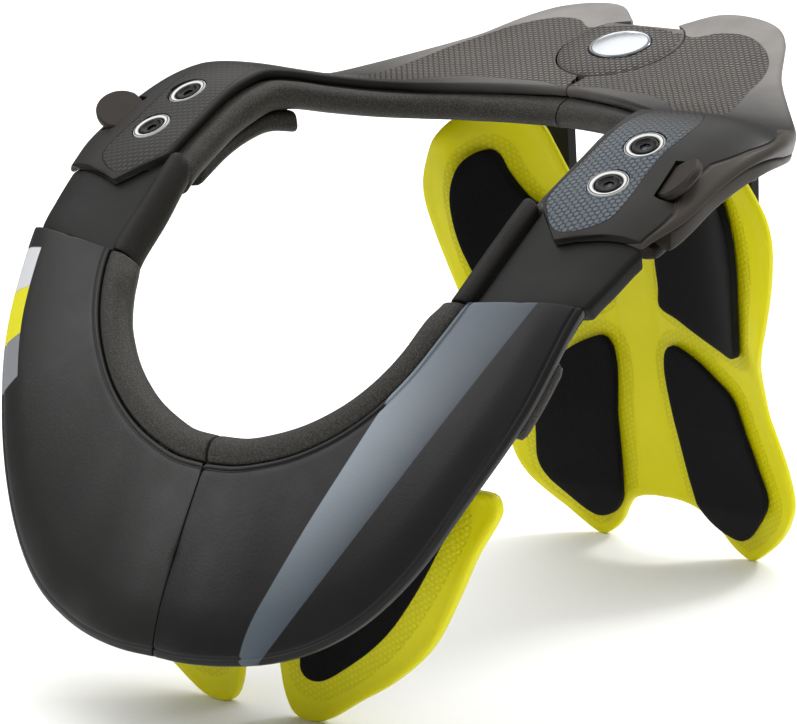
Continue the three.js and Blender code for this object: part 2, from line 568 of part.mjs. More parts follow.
const flap = flapBody.subtract(flapWell).subtract(flapWellBack);
const flapPadFront = plated(flapY, flapPad, -FLAP.thick / 2 - 0.3, -0.5, flapX, flapZ);
const padBack = FLAP.thick / 2 + 3.5;
const flapPadBack = plated(flapY, flapPad, 1.1, padBack, flapX, flapZ);
const padRoom = plated(flapY, grown(flapPad, GAP), 0, padBack + GAP, flapX, flapZ);
const flapRoom = plated(
  flapY, grown(flapOutline, GAP), -FLAP.thick / 2 - 3 * GAP, FLAP.thick / 2 + GAP, flapX, flapZ);
const rib = sweep(0.4, 8.6, 8, [
  [0.03, 0, -3.4], [0.3, 0, -3.4], [0.3, 0, -8.6], [0.03, 0, -8.6],
]);
const bibRoom = sweep(0, SEAM - 0.02, 20, [
  [0, -6, 30], [1, 6, 30], [1, 6, -4.4], [0.6, 0, -4.35], [0, 0, -4.4], [0, -6, -4.4],
]);
// Web from the rib down round the top of the flap.
const webRings = range(WEB.from, WEB.to, 3).map((k) => {
  const inner = collarPoint(k, 0.06, 0, -7);
  const outer = collarPoint(k, 0.28, 0, -7);
  const low = WEB.foot * FLAP.height;
  const y = flapY(inner.x, low);
  const foot = [-WEB.half, WEB.half].map((off) => new THREE.Vector3(inner.x, y + off, low));
  return [inner, outer, ...foot];
});
const web = loft(webRings, [[0, 1], [1, 1], [1, 0], [0, 0]]);
const frontFrame = largest(
  join(rib, web).subtract(toManifold(bibRoom)).subtract(flapRoom).subtract(padRoom));

// Screws and washers.
for (const [i, { name }] of SCREWS.entries()) {
  const place = screwsAt[i];
  const washer = turned([[SCREW.head + 0.35, -1.25], [SCREW.washer, -1.25], [SCREW.washer, -0.3],
    [SCREW.washer - 0.5, 0.2], [SCREW.head + 0.35, -0.3]], 18, place, screwAxis);
  const head = turned([[0, -13.6], [2.5, -13.6], [2.5, -1.25], [SCREW.head, -1.25], [SCREW.head, -0.2],
    [SCREW.head - 0.8, 0], [SCREW.socket + 0.6, -0.7], [0, -0.7]], 12, place, screwAxis);
  const socket = turned([[0, -3], [SCREW.socket, -3], [SCREW.socket, 2], [0, 2]], 6, place, screwAxis);
  pair(`washer_${name}`, washer, "ring");
  pair(`screw_${name}`, cut(head, socket), "steel");
}

pair("front_shell", bib, "shell");
pair("front_pad", frontPad, "foam");
pair("sleeve", sleeve, "leather");
pair("connector", connector, "plastic");
pair("rear_cover", cover, "carbon");
pair("lower_shell", base, "plastic");
pair("rear_pad", rearPad, "foam");
pair("shoulder_pad", shoulderPad, "foam");
pair("rim_pad", rimPad, "foam");
pair("front_frame", frontFrame, "plastic");
pair("chest_flap", flap, "yellow");
pair("flap_pad_front", flapPadFront, "pad");
pair("flap_pad_back", flapPadBack, "pad");
add("hinge_disc", discBody, "carbon");
add("badge", badge, "badge");
add("hinge_bridge", bridge, "plastic");
add("back_plate", plateSolid, "yellow");
pair("upper_back_pad", upperPad, "pad");
pair("lower_back_pad", lowerPad, "pad");

const group = new THREE.Group();
group.name = "neck_brace";
for (const { name, geometry, look } of nodes) {
  geometry.translate(0, -MID_Y, -FLOOR);
  const mesh = new THREE.Mesh(geometry, material(look));
  mesh.name = name;
  group.add(mesh);
}

export default group;
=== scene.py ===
"""Motocross neck brace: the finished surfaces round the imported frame."""

import bmesh
import bpy
import numpy as np
from mathutils import Matrix, Vector
from mathutils.geometry import delaunay_2d_cdt


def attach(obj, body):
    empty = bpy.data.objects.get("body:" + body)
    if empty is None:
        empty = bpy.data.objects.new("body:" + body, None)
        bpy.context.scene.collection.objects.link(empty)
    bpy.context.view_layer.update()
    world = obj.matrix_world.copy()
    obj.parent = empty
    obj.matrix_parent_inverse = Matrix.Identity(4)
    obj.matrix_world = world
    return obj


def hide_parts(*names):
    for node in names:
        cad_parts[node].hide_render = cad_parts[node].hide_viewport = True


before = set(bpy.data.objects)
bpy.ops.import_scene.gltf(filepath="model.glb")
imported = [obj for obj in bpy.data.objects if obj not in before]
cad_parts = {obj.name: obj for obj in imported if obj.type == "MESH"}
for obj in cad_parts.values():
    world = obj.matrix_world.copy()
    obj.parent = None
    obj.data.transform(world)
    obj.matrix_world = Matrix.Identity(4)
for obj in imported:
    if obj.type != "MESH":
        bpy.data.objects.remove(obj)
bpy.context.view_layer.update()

# Driving sizes in millimetres, as the frame has them. Y is measured before the shift to the box's middle.
MM = 0.001
MID_Y = 7.45
HALF, DEPTH, HEIGHT = 147.0, 322.0, 223.4
CROWN, WALL = 6.2, 8.0
GAP, SEAM_GAP = 0.3, 0.35
SEAM, ARM, REAR = 9, 11, 29
ARM_POINT = {"at": 0.37, "reach": 0.66}
HINGE = {"y": 132.0, "z": 213.2, "tilt": 17.3, "radius": 26.4, "disc": 6.0}
BADGE = {"rx": 13.6, "ry": 11.4}
DISC_CUT = {"back": 30.0, "up": 9.2, "lean": 30.0}
SCREWS = {
    "rear": {"station": 12.9924, "share": 0.3681, "lift": -0.853},
    "front": {"station": 11.7615, "share": 0.3822, "lift": 0.112},
}
SCREW = {"axis": (0.09, -0.42, 0.905), "well": 8.2, "washer": 7.8, "head": 5.0, "socket": 2.2}
LUG = {
    "station": 12.4083, "share": 0.8153, "lift": 0.7025, "out": 10.3, "half": 9.8, "thick": 3.6,
    "sunk": 6.0, "pocket": 1.3, "lean": 32.0, "rise": 24.0,
}
PLATE = {"thick": 3.4, "half": 86.8, "height": 185.0, "back": 161.0}
WING = {"x": 70.0, "width": 14.0, "lift": 8.0, "from": 75.0, "full": 105.0, "fade": 172.0, "to": 188.0}
FLAP = {"thick": 4.5, "reach": 105.7, "height": 99.0, "y": -94.0, "wrap": 0.0423}
FLAP_LEAN = {"by": 18.0, "from": 40.0, "to": 96.0}
PAD_THICK = {"upper": 5.4, "lower": 3.2}
# Edges over this angle in degrees stay sharp, and points off a painted panel hold this value.
SHARP = 35.0
OFF = -5.0

# Camera of the photo: angles in degrees, lengths in millimetres.
VIEW = {
    "azimuth": 40.921, "elevation": 13.846, "roll": -2.436, "distance": 1740.044,
    "target": (-9.127, 0.0, 111.706), "lens": 205.6,
}

# Collar stations from the front seam to the rear seam: inner edge and outer edge, each as shares of the
# half width, the depth and the height, then shares of the crown and the wall.
STATIONS = [
    ((0.001, -0.3736, 0.4521), (0.001, -0.4758, 0.1625), 0.48, 0.5),
    ((0.0952, -0.3714, 0.4557), (0.102, -0.4789, 0.1647), 0.48, 0.5),
    ((0.1701, -0.3652, 0.4655), (0.2177, -0.472, 0.1701), 0.48, 0.5),
    ((0.2517, -0.3559, 0.4816), (0.3401, -0.4565, 0.1817), 0.48, 0.5),
    ((0.3286, -0.3441, 0.5049), (0.4626, -0.4394, 0.2104), 0.48, 0.5),
    ((0.4, -0.3295, 0.5345), (0.5714, -0.4161, 0.2565), 0.48, 0.5),
    ((0.4646, -0.3115, 0.5721), (0.6776, -0.3857, 0.3339), 0.48, 0.5),
    ((0.5224, -0.2894, 0.6195), (0.7755, -0.3457, 0.4454), 0.48, 0.5),
    ((0.5673, -0.2615, 0.6741), (0.8694, -0.2857, 0.5797), 0.48, 0.5),
    ((0.5966, -0.228, 0.7247), (0.9184, -0.205, 0.7355), 0.4, 0.5),
    ((0.6088, -0.1677, 0.7923), (0.9388, -0.1661, 0.7766), 0.4, 0.375),
    ((0.6204, -0.1059, 0.8577), (0.9592, -0.1211, 0.8156), 0.48, 0.325),
    ((0.6252, -0.0444, 0.9033), (0.9966, -0.0683, 0.846), 0.65, 0.35),
    ((0.6286, 0.0006, 0.9338), (1, 0, 0.8841), 0.94, 0.35),
    ((0.6231, 0.0329, 0.9508), (1, 0.0528, 0.9042), 1, 0.4),
    ((0.6156, 0.0705, 0.9602), (0.9932, 0.1025, 0.9132), 0.97, 0.625),
    ((0.5918, 0.1025, 0.9534), (0.966, 0.1429, 0.9109), 0.81, 0.812),
    ((0.5442, 0.1429, 0.9378), (0.9184, 0.1863, 0.9042), 0.58, 0.875),
    ((0.4762, 0.1894, 0.9221), (0.8639, 0.2267, 0.8975), 0.32, 0.938),
    ((0.4014, 0.2283, 0.9127), (0.7993, 0.2686, 0.8953), 0.24, 1),
    ((0.3129, 0.2516, 0.9109), (0.7177, 0.3106, 0.9087), 0.16, 1),
    ((0.2517, 0.2649, 0.9105), (0.6075, 0.3671, 0.9302), 0.16, 1),
    ((0.1905, 0.2764, 0.91), (0.5565, 0.396, 0.9409), 0.16, 1),
    ((0.1429, 0.2835, 0.9096), (0.5109, 0.4273, 0.9521), 0.16, 1),
    ((0.102, 0.2894, 0.9091), (0.4755, 0.454, 0.9651), 0.16, 1),
    ((0.068, 0.2938, 0.9087), (0.4361, 0.4817, 0.9781), 0.13, 1),
    ((0.0408, 0.2969, 0.9087), (0.3762, 0.5078, 0.9906), 0.1, 1),
    ((0.0238, 0.2981, 0.9087), (0.2735, 0.5227, 0.9996), 0.06, 1),
    ((0.0102, 0.2991, 0.9082), (0.1701, 0.5186, 1), 0.05, 1),
    ((0.0014, 0.2997, 0.9082), (0.0857, 0.4888, 0.9848), 0.03, 1),
]
# Plate rows: height share, back share and bend share.
PLATE_ROWS = [
    (-0.027, 1, 0.0868),
    (0.0541, 0.9814, 0.0868),
    (0.1297, 0.941, 0.0955),
    (0.3243, 0.8913, 0.1562),
    (0.4973, 0.8665, 0.191),
    (0.7027, 0.8292, 0.217),
    (0.8919, 0.795, 0.2344),
    (1.027, 0.7733, 0.243),
]
# Outlines as shares of width and height.
PLATE_OUTLINE = [
    (0, 0.1232), (0.1037, 0.1205), (0.1959, 0.1054), (0.2535, 0.0784), (0.3226, 0.0351),
    (0.3802, 0.0124), (0.4424, 0), (0.553, 0.0292), (0.7373, 0.1081), (0.8122, 0.1676),
    (0.8237, 0.2486), (0.7972, 0.3243), (0.7604, 0.3784), (0.7535, 0.4297), (0.7834, 0.4811),
    (0.8502, 0.5405), (0.9101, 0.6162), (0.9712, 0.7135), (1, 0.7946), (0.9862, 0.8459),
    (0.9389, 0.8973), (0.8756, 0.9459), (0.7834, 0.9892), (0.576, 1), (0.409, 0.9784),
    (0.3514, 0.9297), (0.2995, 0.8757), (0.2074, 0.7946), (0.1037, 0.7243), (0, 0.6973),
]
UPPER_PAD = [
    (0.1843, 0.5919), (0.288, 0.5676), (0.3975, 0.5422), (0.5472, 0.5157), (0.6336, 0.507),
    (0.674, 0.5189), (0.7028, 0.5514), (0.7488, 0.627), (0.788, 0.6973), (0.803, 0.7514), (0.803, 0.8),
    (0.7834, 0.8432), (0.7304, 0.8919), (0.6452, 0.9178), (0.6048, 0.9081), (0.5703, 0.8649),
    (0.48, 0.803), (0.36, 0.778), (0.255, 0.76), (0.2, 0.725), (0.1912, 0.6378),
]
LOWER_PAD = [
    (0.2016, 0.4995), (0.1647, 0.4865), (0.1452, 0.4432), (0.1786, 0.2973), (0.2074, 0.173),
    (0.2362, 0.1108), (0.3226, 0.0649), (0.432, 0.0508), (0.5588, 0.0973), (0.6682, 0.1649),
    (0.6486, 0.2476), (0.5991, 0.3459), (0.5507, 0.4054), (0.4608, 0.4378), (0.3571, 0.4719),
]
FLAP_OUTLINE = [
    (0.0946, 0.1616), (0.1164, 0.0657), (0.1419, 0.0222), (0.1798, 0.002), (0.2176, 0),
    (0.2838, 0.012), (0.4541, 0.1213), (0.5866, 0.2071), (0.7569, 0.3637), (0.8893, 0.5859),
    (0.9745, 0.7575), (1.05, 0.885), (1.068, 0.93), (1.052, 0.985), (0.99, 1), (0.5676, 0.9848),
    (0.0946, 0.9697),
]
FLAP_PAD = [
    (0.1892, 0.2322), (0.1898, 0.197), (0.2181, 0.1674), (0.2749, 0.1654), (0.3879, 0.2323),
    (0.5582, 0.3737), (0.719, 0.5758), (0.8325, 0.7575), (0.895, 0.872), (0.899, 0.905),
    (0.875, 0.929), (0.6623, 0.9192), (0.3784, 0.8687), (0.2176, 0.8081),
]

# Weave panels of the rear cover, as X and Y seen from above.
ARM_PANEL = [
    (93.5, -33), (98, -39), (103, -43.5), (108, -45.3), (114, -44.3), (120, -41), (124, -37), (125, -30),
    (123.6, -15), (123.4, -3), (124, 11), (122.5, 21), (117, 29), (108, 31), (100, 27), (96.6, 18),
    (95, 6), (94.2, -14),
]
REAR_PANEL = [
    (0, 99.2), (14, 98.2), (30, 95.2), (46, 91.4), (57, 86.2), (66, 77.4), (76, 67), (86, 64.5), (91, 68),
    (89, 80), (85, 94), (81.5, 105), (77.5, 121), (69.5, 136), (58, 146.5), (46.5, 151.8), (35, 150.8),
    (25.5, 145), (14, 151), (0, 152),
]
# Parting line on the outer side of the arm, as Y and Z.
PARTING = [(-50, 176), (-36, 184), (-24, 190), (-14, 197), (2, 203), (20, 205), (45, 206), (70, 203)]
# Edges of the stripe over the left bib: three points on each, on the surface.
STRIPE_LEFT = [(86.7, -77, 158.5), (60, -115.7, 103.1), (39.1, -149.9, 40.3)]
STRIPE_RIGHT = [(118.2, -70.4, 165.2), (86.6, -112.8, 105.7), (48, -147.2, 41.7)]


def smoothstep(x, lo, hi):
    t = np.clip((np.asarray(x, float) - lo) / (hi - lo), 0, 1)
    return t * t * (3 - 2 * t)


def through(points, t):
    """Centripetal curve through the points, at shares t of the way."""
    pts = np.asarray(points, float)
    pts = np.vstack([2 * pts[0] - pts[1], pts, 2 * pts[-1] - pts[-2]])
    place = np.clip(np.asarray(t, float), 0, 1) * (len(pts) - 3)
    i = np.minimum(place.astype(int), len(pts) - 4)
    w = (place - i)[:, None]
    p0, p1, p2, p3 = (pts[i + n] for n in range(4))

    def knot(a, b):
        return np.maximum(((a - b) ** 2).sum(1) ** 0.25, 1e-4)[:, None]

    d0, d1, d2 = knot(p0, p1), knot(p1, p2), knot(p2, p3)
    t1 = ((p1 - p0) / d0 - (p2 - p0) / (d0 + d1) + (p2 - p1) / d1) * d1
    t2 = ((p2 - p1) / d1 - (p3 - p1) / (d1 + d2) + (p3 - p2) / d2) * d1
    return p1 + t1 * w + (3 * (p2 - p1) - 2 * t1 - t2) * w**2 + (2 * (p1 - p2) + t1 + t2) * w**3


SCALE = np.array([HALF, DEPTH, HEIGHT])
INNER = np.array([row[0] for row in STATIONS]) * SCALE
OUTER = np.array([row[1] for row in STATIONS]) * SCALE
CROWNS = np.array([row[2] for row in STATIONS]) * CROWN
WALLS = np.array([row[3] for row in STATIONS]) * WALL


def unit(v):
    return v / np.maximum(np.linalg.norm(v, axis=-1, keepdims=True), 1e-9)


def collar_frame(k):
    """Inner point, outer point, across and up directions at stations k."""
    t = np.clip(np.asarray(k, float) / REAR, 0, 1)
    a, b = through(INNER, t), through(OUTER, t)
    across = unit(b - a)
    step = 0.004
    ahead = through(INNER, np.minimum(t + step, 1)) + through(OUTER, np.minimum(t + step, 1))
    behind = through(INNER, np.maximum(t - step, 0)) + through(OUTER, np.maximum(t - step, 0))
    up = unit(np.cross(across, ahead - behind))
    upright = smoothstep(k, SEAM, ARM + 1)[:, None]
    up = unit(up * (1 - upright) + np.array([0, 0, 1.0]) * upright)
    return a, b, across, up


def crown_at(f):
    x = np.clip(f, 0, 1)
    return np.where(x < 0.7, np.sin(x / 0.7 * np.pi / 2), 1 - ((x - 0.7) / 0.3) ** 2)


def station_value(table, k):
    return np.interp(k, np.arange(len(table)), table)


def collar_point(k, f, v=0.0):
    """Points of the collar in millimetres: share f across, v above its surface."""
    k = np.atleast_1d(np.asarray(k, float))
    f = np.broadcast_to(np.asarray(f, float), k.shape)
    a, b, _, up = collar_frame(k)
    rise = v + station_value(CROWNS, k) * crown_at(f)
    return a + (b - a) * f[:, None] + up * rise[:, None]


def plate_y(x, z):
    x, z = np.asarray(x, float), np.asarray(z, float)
    share = z / PLATE["height"]
    rows = np.array(PLATE_ROWS)
    band = smoothstep(z, WING["from"], WING["full"]) * (1 - smoothstep(z, WING["fade"], WING["to"]))
    lift = WING["lift"] * band * np.exp(-(((np.abs(x) - WING["x"]) / WING["width"]) ** 2))
    bend = np.interp(share, rows[:, 0], rows[:, 2])
    return PLATE["back"] * np.interp(share, rows[:, 0], rows[:, 1]) - bend * x * x / PLATE["half"] - lift


def flap_y(x, z):
    x = np.abs(np.asarray(x, float))
    rise = smoothstep(z, FLAP_LEAN["from"], FLAP_LEAN["to"])
    inner = np.clip(1 - x / (FLAP["reach"] + FLAP["thick"]), 0, 1)
    return FLAP["y"] + FLAP["wrap"] * x * x / FLAP["reach"] - FLAP_LEAN["by"] * rise * inner


def loop_distance(points, loop):
    """Signed distance to a closed outline in two dimensions, positive inside."""
    p = np.asarray(points, float)[:, None, :]
    a = np.asarray(loop, float)[None]
    b = np.roll(a, -1, axis=1)
    ab = b - a
    t = np.clip(((p - a) * ab).sum(2) / np.maximum((ab**2).sum(2), 1e-9), 0, 1)
    near = np.sqrt((((a + ab * t[..., None]) - p) ** 2).sum(2)).min(1)
    crosses = (a[..., 1] > p[..., 1]) != (b[..., 1] > p[..., 1])
    at = a[..., 0] + (p[..., 1] - a[..., 1]) * ab[..., 0] / np.where(ab[..., 1] == 0, 1e-9, ab[..., 1])
    inside = (crosses & (p[..., 0] < at)).sum(1) % 2 == 1
    return np.where(inside, near, -near)


def smooth_loop(points, spacing):
    """Closed smooth outline through the points, resampled at about the spacing."""
    pts = np.asarray(points, float)
    n = len(pts)
    ring = np.vstack([pts[-3:], pts, pts[:4]])
    t = np.linspace(3, 3 + n, n * 16 + 1) / (len(ring) - 1)
    fine = through(ring, t)[:-1]
    length = np.linalg.norm(np.roll(fine, -1, 0) - fine, axis=1)
    total = length.sum()
    count = max(12, int(total / spacing))
    along = np.concatenate([[0], np.cumsum(length)])
    closed = np.vstack([fine, fine[:1]])
    want = np.arange(count) * total / count
    loop = np.stack([np.interp(want, along, closed[:, i]) for i in range(2)], axis=1)
    x, y = loop.T
    area = (x * np.roll(y, -1) - np.roll(x, -1) * y).sum()
    return loop if area > 0 else loop[::-1]


def inset(loop, by):
    ahead = unit(np.roll(loop, -1, 0) - loop)
    behind = unit(loop - np.roll(loop, 1, 0))
    along = unit(ahead + behind)
    return loop + np.stack([-along[:, 1], along[:, 0]], axis=1) * by


# Building meshes
def new_mesh(name, vertices, faces, sharp=SHARP):
    """Mesh object from points in millimetres, smooth but for edges over `sharp` degrees."""
    place = (np.asarray(vertices, float) - [0, MID_Y, 0]) * MM
    mesh = bpy.data.meshes.new(name)
    mesh.from_pydata([tuple(p) for p in place], [], [tuple(int(i) for i in f) for f in faces])
    mesh.update()
    obj = bpy.data.objects.new(name, mesh)
    bpy.context.scene.collection.objects.link(obj)
    tidy(mesh, sharp)
    return obj


def tidy(mesh, sharp=SHARP):
    """Joins double points, turns the faces outward and marks the sharp edges."""
    bm = bmesh.new()
    bm.from_mesh(mesh)
    bmesh.ops.remove_doubles(bm, verts=bm.verts, dist=1e-6)
    bmesh.ops.recalc_face_normals(bm, faces=bm.faces)
    limit = np.radians(sharp)
    for face in bm.faces:
        face.smooth = True
    for edge in bm.edges:
        edge.smooth = len(edge.link_faces) == 2 and edge.calc_face_angle(0) < float(limit)
    bm.to_mesh(mesh)
    bm.free()


def points_of(obj):
    co = np.empty(len(obj.data.vertices) * 3)
    obj.data.vertices.foreach_get("co", co)
    return co.reshape(-1, 3) / MM + [0, MID_Y, 0]


def normals_of(obj):
    no = np.empty(len(obj.data.vertices) * 3)
    obj.data.vertices.foreach_get("normal", no)
    return no.reshape(-1, 3)


def paint(obj, name, values):
    layer = obj.data.attributes.new(name, "FLOAT", "POINT")
    layer.data.foreach_set("value", np.asarray(values, np.float32))


def mirrored(obj, name):
    """The right copy of a left piece."""
    mesh = obj.data.copy()
    mesh.name = name
    mesh.transform(Matrix.Scale(-1, 4, (1, 0, 0)))
    mesh.flip_normals()
    copy = bpy.data.objects.new(name, mesh)
    bpy.context.scene.collection.objects.link(copy)
    return copy


def carve(obj, cutters, how="DIFFERENCE"):
    """Applies a boolean with each cutter, then deletes the cutters."""
    for cutter in cutters:
        modifier = obj.modifiers.new("carve", "BOOLEAN")
        modifier.operation = how
        modifier.solver = "EXACT"
        modifier.object = cutter
    graph = bpy.context.evaluated_depsgraph_get()
    result = bpy.data.meshes.new_from_object(obj.evaluated_get(graph))
    obj.modifiers.clear()
    obj.data = result
    for cutter in cutters:
        bpy.data.objects.remove(cutter)
    tidy(result)
    return obj


def rounded(points, radius, splits):
    """Closed outline with its corners rounded and its long sides split."""
    n = len(points)
    side = np.linalg.norm(np.roll(points, -1, 0) - points, axis=1)
    cut = np.minimum(radius, 0.45 * np.minimum(side, np.roll(side, 1)))
    out = []
    for i in range(n):
        p, a, b = points[i], points[i - 1], points[(i + 1) % n]
        start = p + (a - p) / max(side[i - 1], 1e-6) * cut[i]
        end = p + (b - p) / max(side[i], 1e-6) * cut[i]
        for t in (0, 0.33, 0.67, 1):
            out.append((1 - t) ** 2 * start + 2 * t * (1 - t) * p + t * t * end)
        stop = b + (p - b) / max(side[i], 1e-6) * cut[(i + 1) % n]
        for j in range(1, splits[i]):
            out.append(end + (stop - end) * j / splits[i])
    return np.array(out)


def swept(name, k0, k1, section, spacing=2.0, corner=1.0, end=0.8, point=False):
    """Collar piece between two stations. Section rows: share, mm across, mm up and wall shares down."""
    rows = np.array([list(row) + [0] * (4 - len(row)) for row in section], float)
    walk = np.linspace(k0, k1, 200)
    middle = collar_point(walk, 0.5)
    along = np.concatenate([[0], np.cumsum(np.linalg.norm(np.diff(middle, axis=0), axis=1))])
    length = along[-1]
    stops = np.concatenate([
        [0, 0.3 * end, end], np.linspace(end, length - end, max(4, int(length / spacing)))[1:-1],
        [length - end, length - 0.3 * end, length],
    ])
    shrink = np.zeros(len(stops))
    shrink[[0, -1]] = end
    shrink[[1, -2]] = 0.3 * end
    ks = np.interp(stops, along, walk)
    half_way = np.array([(k0 + k1) / 2])
    a, b, _, _ = collar_frame(half_way)

    def flat(width, wall):
        return np.stack([rows[:, 0] * width + rows[:, 1], rows[:, 2] - rows[:, 3] * wall], axis=1)

    sample = flat(np.linalg.norm(b - a), station_value(WALLS, half_way)[0])
    side = np.linalg.norm(np.roll(sample, -1, 0) - sample, axis=1)
    splits = np.maximum(1, (side / spacing).astype(int))
    vertices = []
    for i, k in enumerate(ks):
        a, b, _, _ = collar_frame(np.array([k]))
        width = np.linalg.norm(b - a)
        ring = rounded(flat(width, station_value(WALLS, k)), corner, splits)
        centre = ring.mean(0)
        away = np.linalg.norm(ring - centre, axis=1, keepdims=True)
        ring = centre + (ring - centre) * (1 - np.minimum(0.9, shrink[i] / np.maximum(away, 1e-6)))
        f = ring[:, 0] / width
        station = np.full(len(ring), k)
        if point:
            x = np.clip(f, 0, 1)
            at = ARM_POINT["at"]
            peak = np.where(x < at, x / at, (1 - x) / (1 - at))
            station = k - ARM_POINT["reach"] * peak * (k1 - k) / (k1 - k0)
        vertices.append(collar_point(station, f, ring[:, 1]))
    m = len(vertices[0])
    faces = []
    for i in range(len(ks) - 1):
        j = np.arange(m)
        q = (j + 1) % m
        faces += np.stack([i * m + j, i * m + q, (i + 1) * m + q, (i + 1) * m + j], axis=1).tolist()
    faces.append(list(range(m)))
    faces.append(list(range((len(ks) - 1) * m, len(ks) * m)))
    return new_mesh(name, np.concatenate(vertices), faces)


def fill(loop, spacing):
    """Points inside a loop and the triangles over both: the loop's own points come first."""
    lo, hi = loop.min(0), loop.max(0)
    xs = np.arange(lo[0], hi[0], spacing)
    zs = np.arange(lo[1], hi[1], spacing)
    grid = np.array([(x + (j % 2) * spacing / 2, z) for j, z in enumerate(zs) for x in xs])
    inner = grid[loop_distance(grid, loop) > spacing * 0.6]
    points = np.vstack([loop, inner])
    edges = [(i, (i + 1) % len(loop)) for i in range(len(loop))]
    made = delaunay_2d_cdt([Vector(p) for p in points], edges, [], 1, 1e-6)
    names = [origin[0] for origin in made[3]]
    return inner, [[names[i] for i in tri] for tri in made[2]]


def slab(name, outline, surface, layers, relief=None, spacing=2.0, side=1):
    """Plate over an outline in X and Z. Layers list inset and Y offset, from one face to the other."""
    loop = smooth_loop(outline, spacing)
    loops = [inset(loop, by) if by else loop for by, _ in layers]
    plan = list(np.vstack(loops))
    offsets = list(np.repeat([off for _, off in layers], len(loop)))
    n = len(loop)
    faces = []
    for i in range(len(layers) - 1):
        for j in range(n):
            q = (j + 1) % n
            faces.append([i * n + j, i * n + q, (i + 1) * n + q, (i + 1) * n + j])
    for layer in (0, len(layers) - 1):
        inner, tris = fill(loops[layer], spacing)
        base = len(plan)
        names = [layer * n + i for i in range(n)] + [base + i for i in range(len(inner))]
        plan += list(inner)
        offsets += [layers[layer][1]] * len(inner)
        faces += [[names[i] for i in tri] for tri in tris]
    plan, offsets = np.array(plan), np.array(offsets)
    plan[:, 1] = np.maximum(plan[:, 1], 0)
    y = surface(plan[:, 0], plan[:, 1]) + offsets
    if relief is not None:
        y = y + relief(plan, offsets)
    vertices = np.stack([plan[:, 0] * side, y, plan[:, 1]], axis=1)
    return new_mesh(name, vertices, faces)


def lathe(name, profile, at, axis, segments=64, scale=(1, 1), sharp=SHARP):
    """Solid turned about an axis from radius and height pairs that start and end on it, or close."""
    loop = np.array(profile, float)
    ring = loop[:, 0].min() > 0
    angle = np.linspace(0, 2 * np.pi, segments, endpoint=False)
    turn = Vector((0, 0, 1)).rotation_difference(Vector(axis).normalized()).to_matrix()
    wide, deep = scale
    vertices = []
    for r, h in loop:
        circle = np.stack([r * wide * np.cos(angle), r * deep * np.sin(angle), h + 0 * angle], axis=1)
        vertices.append(circle @ np.array(turn).T + np.array(at))
    n = segments
    faces = []
    for i in range(len(loop) if ring else len(loop) - 1):
        j = (i + 1) % len(loop)
        for s in range(n):
            q = (s + 1) % n
            faces.append([i * n + s, i * n + q, j * n + q, j * n + s])
    vertices = np.concatenate(vertices)
    return new_mesh(name, vertices, clean(faces, vertices), sharp)


def clean(faces, vertices):
    """Faces without repeated points, so that rings of no radius close to one point."""
    key = {}
    first = [key.setdefault(tuple(np.round(v, 5)), i) for i, v in enumerate(vertices)]
    out = []
    for face in faces:
        kept = list(dict.fromkeys(first[i] for i in face))
        if len(kept) > 2:
            out.append(kept)
    return out


# Materials
class Nodes:
    """A material's tree with short calls for the nodes used here."""

    def __init__(self, name, **sockets):
        self.material = bpy.data.materials.new(name)
        self.material.use_nodes = True
        self.tree = self.material.node_tree
        self.shader = self.tree.nodes["Principled BSDF"]
        for key, value in sockets.items():
            self.shader.inputs[key.replace("_", " ")].default_value = value
        self.place = self.make("ShaderNodeTexCoord").outputs["Object"]

    def make(self, kind, **settings):
        node = self.tree.nodes.new(kind)
        for key, value in settings.items():
            setattr(node, key, value)
        return node

    def join(self, source, target):
        if isinstance(source, (int, float, tuple)):
            target.default_value = source
        else:
            self.tree.links.new(source, target)

    def math(self, operation, a, b=0.0):
        node = self.make("ShaderNodeMath", operation=operation)
        self.join(a, node.inputs[0])
        self.join(b, node.inputs[1])
        return node.outputs[0]

    def dot(self, direction):
        node = self.make("ShaderNodeVectorMath", operation="DOT_PRODUCT")
        self.join(self.place, node.inputs[0])
        node.inputs[1].default_value = direction
        return node.outputs["Value"]

    def noise(self, scale, detail=2.0, rough=0.5):
        node = self.make("ShaderNodeTexNoise")
        self.join(self.place, node.inputs["Vector"])
        node.inputs["Scale"].default_value = scale
        node.inputs["Detail"].default_value = detail
        node.inputs["Roughness"].default_value = rough
        return node.outputs["Fac"]

    def value(self, name):
        return self.make("ShaderNodeAttribute", attribute_name=name).outputs["Fac"]

    def step(self, source, lo, hi):
        node = self.make("ShaderNodeMapRange", interpolation_type="SMOOTHSTEP")
        self.join(source, node.inputs["Value"])
        node.inputs["From Min"].default_value = lo
        node.inputs["From Max"].default_value = hi
        return node.outputs["Result"]

    def mix(self, share, a, b):
        node = self.make("ShaderNodeMix", data_type="RGBA")
        self.join(share, node.inputs["Factor"])
        for source, socket in ((a, node.inputs[6]), (b, node.inputs[7])):
            self.join((*source, 1.0) if isinstance(source, tuple) else source, socket)
        return node.outputs[2]

    def span(self, share, a, b):
        """A number from a to b as the share goes from 0 to 1."""
        return self.math("ADD", self.math("MULTIPLY", share, b - a), a)

    def colour(self, source):
        self.join((*source, 1.0) if isinstance(source, tuple) else source, self.shader.inputs["Base Color"])

    def rough(self, source):
        self.join(source, self.shader.inputs["Roughness"])

    def bump(self, height, distance, strength=1.0):
        node = self.make("ShaderNodeBump")
        node.inputs["Distance"].default_value = distance
        node.inputs["Strength"].default_value = strength
        self.join(height, node.inputs["Height"])
        before = self.shader.inputs["Normal"].links
        if before:
            self.join(before[0].from_socket, node.inputs["Normal"])
        self.join(node.outputs["Normal"], self.shader.inputs["Normal"])


def srgb(code):
    """Linear colour from a hexadecimal one."""
    parts = [int(code[i:i + 2], 16) / 255 for i in (1, 3, 5)]
    return tuple(c / 12.92 if c < 0.04045 else ((c + 0.055) / 1.055) ** 2.4 for c in parts)


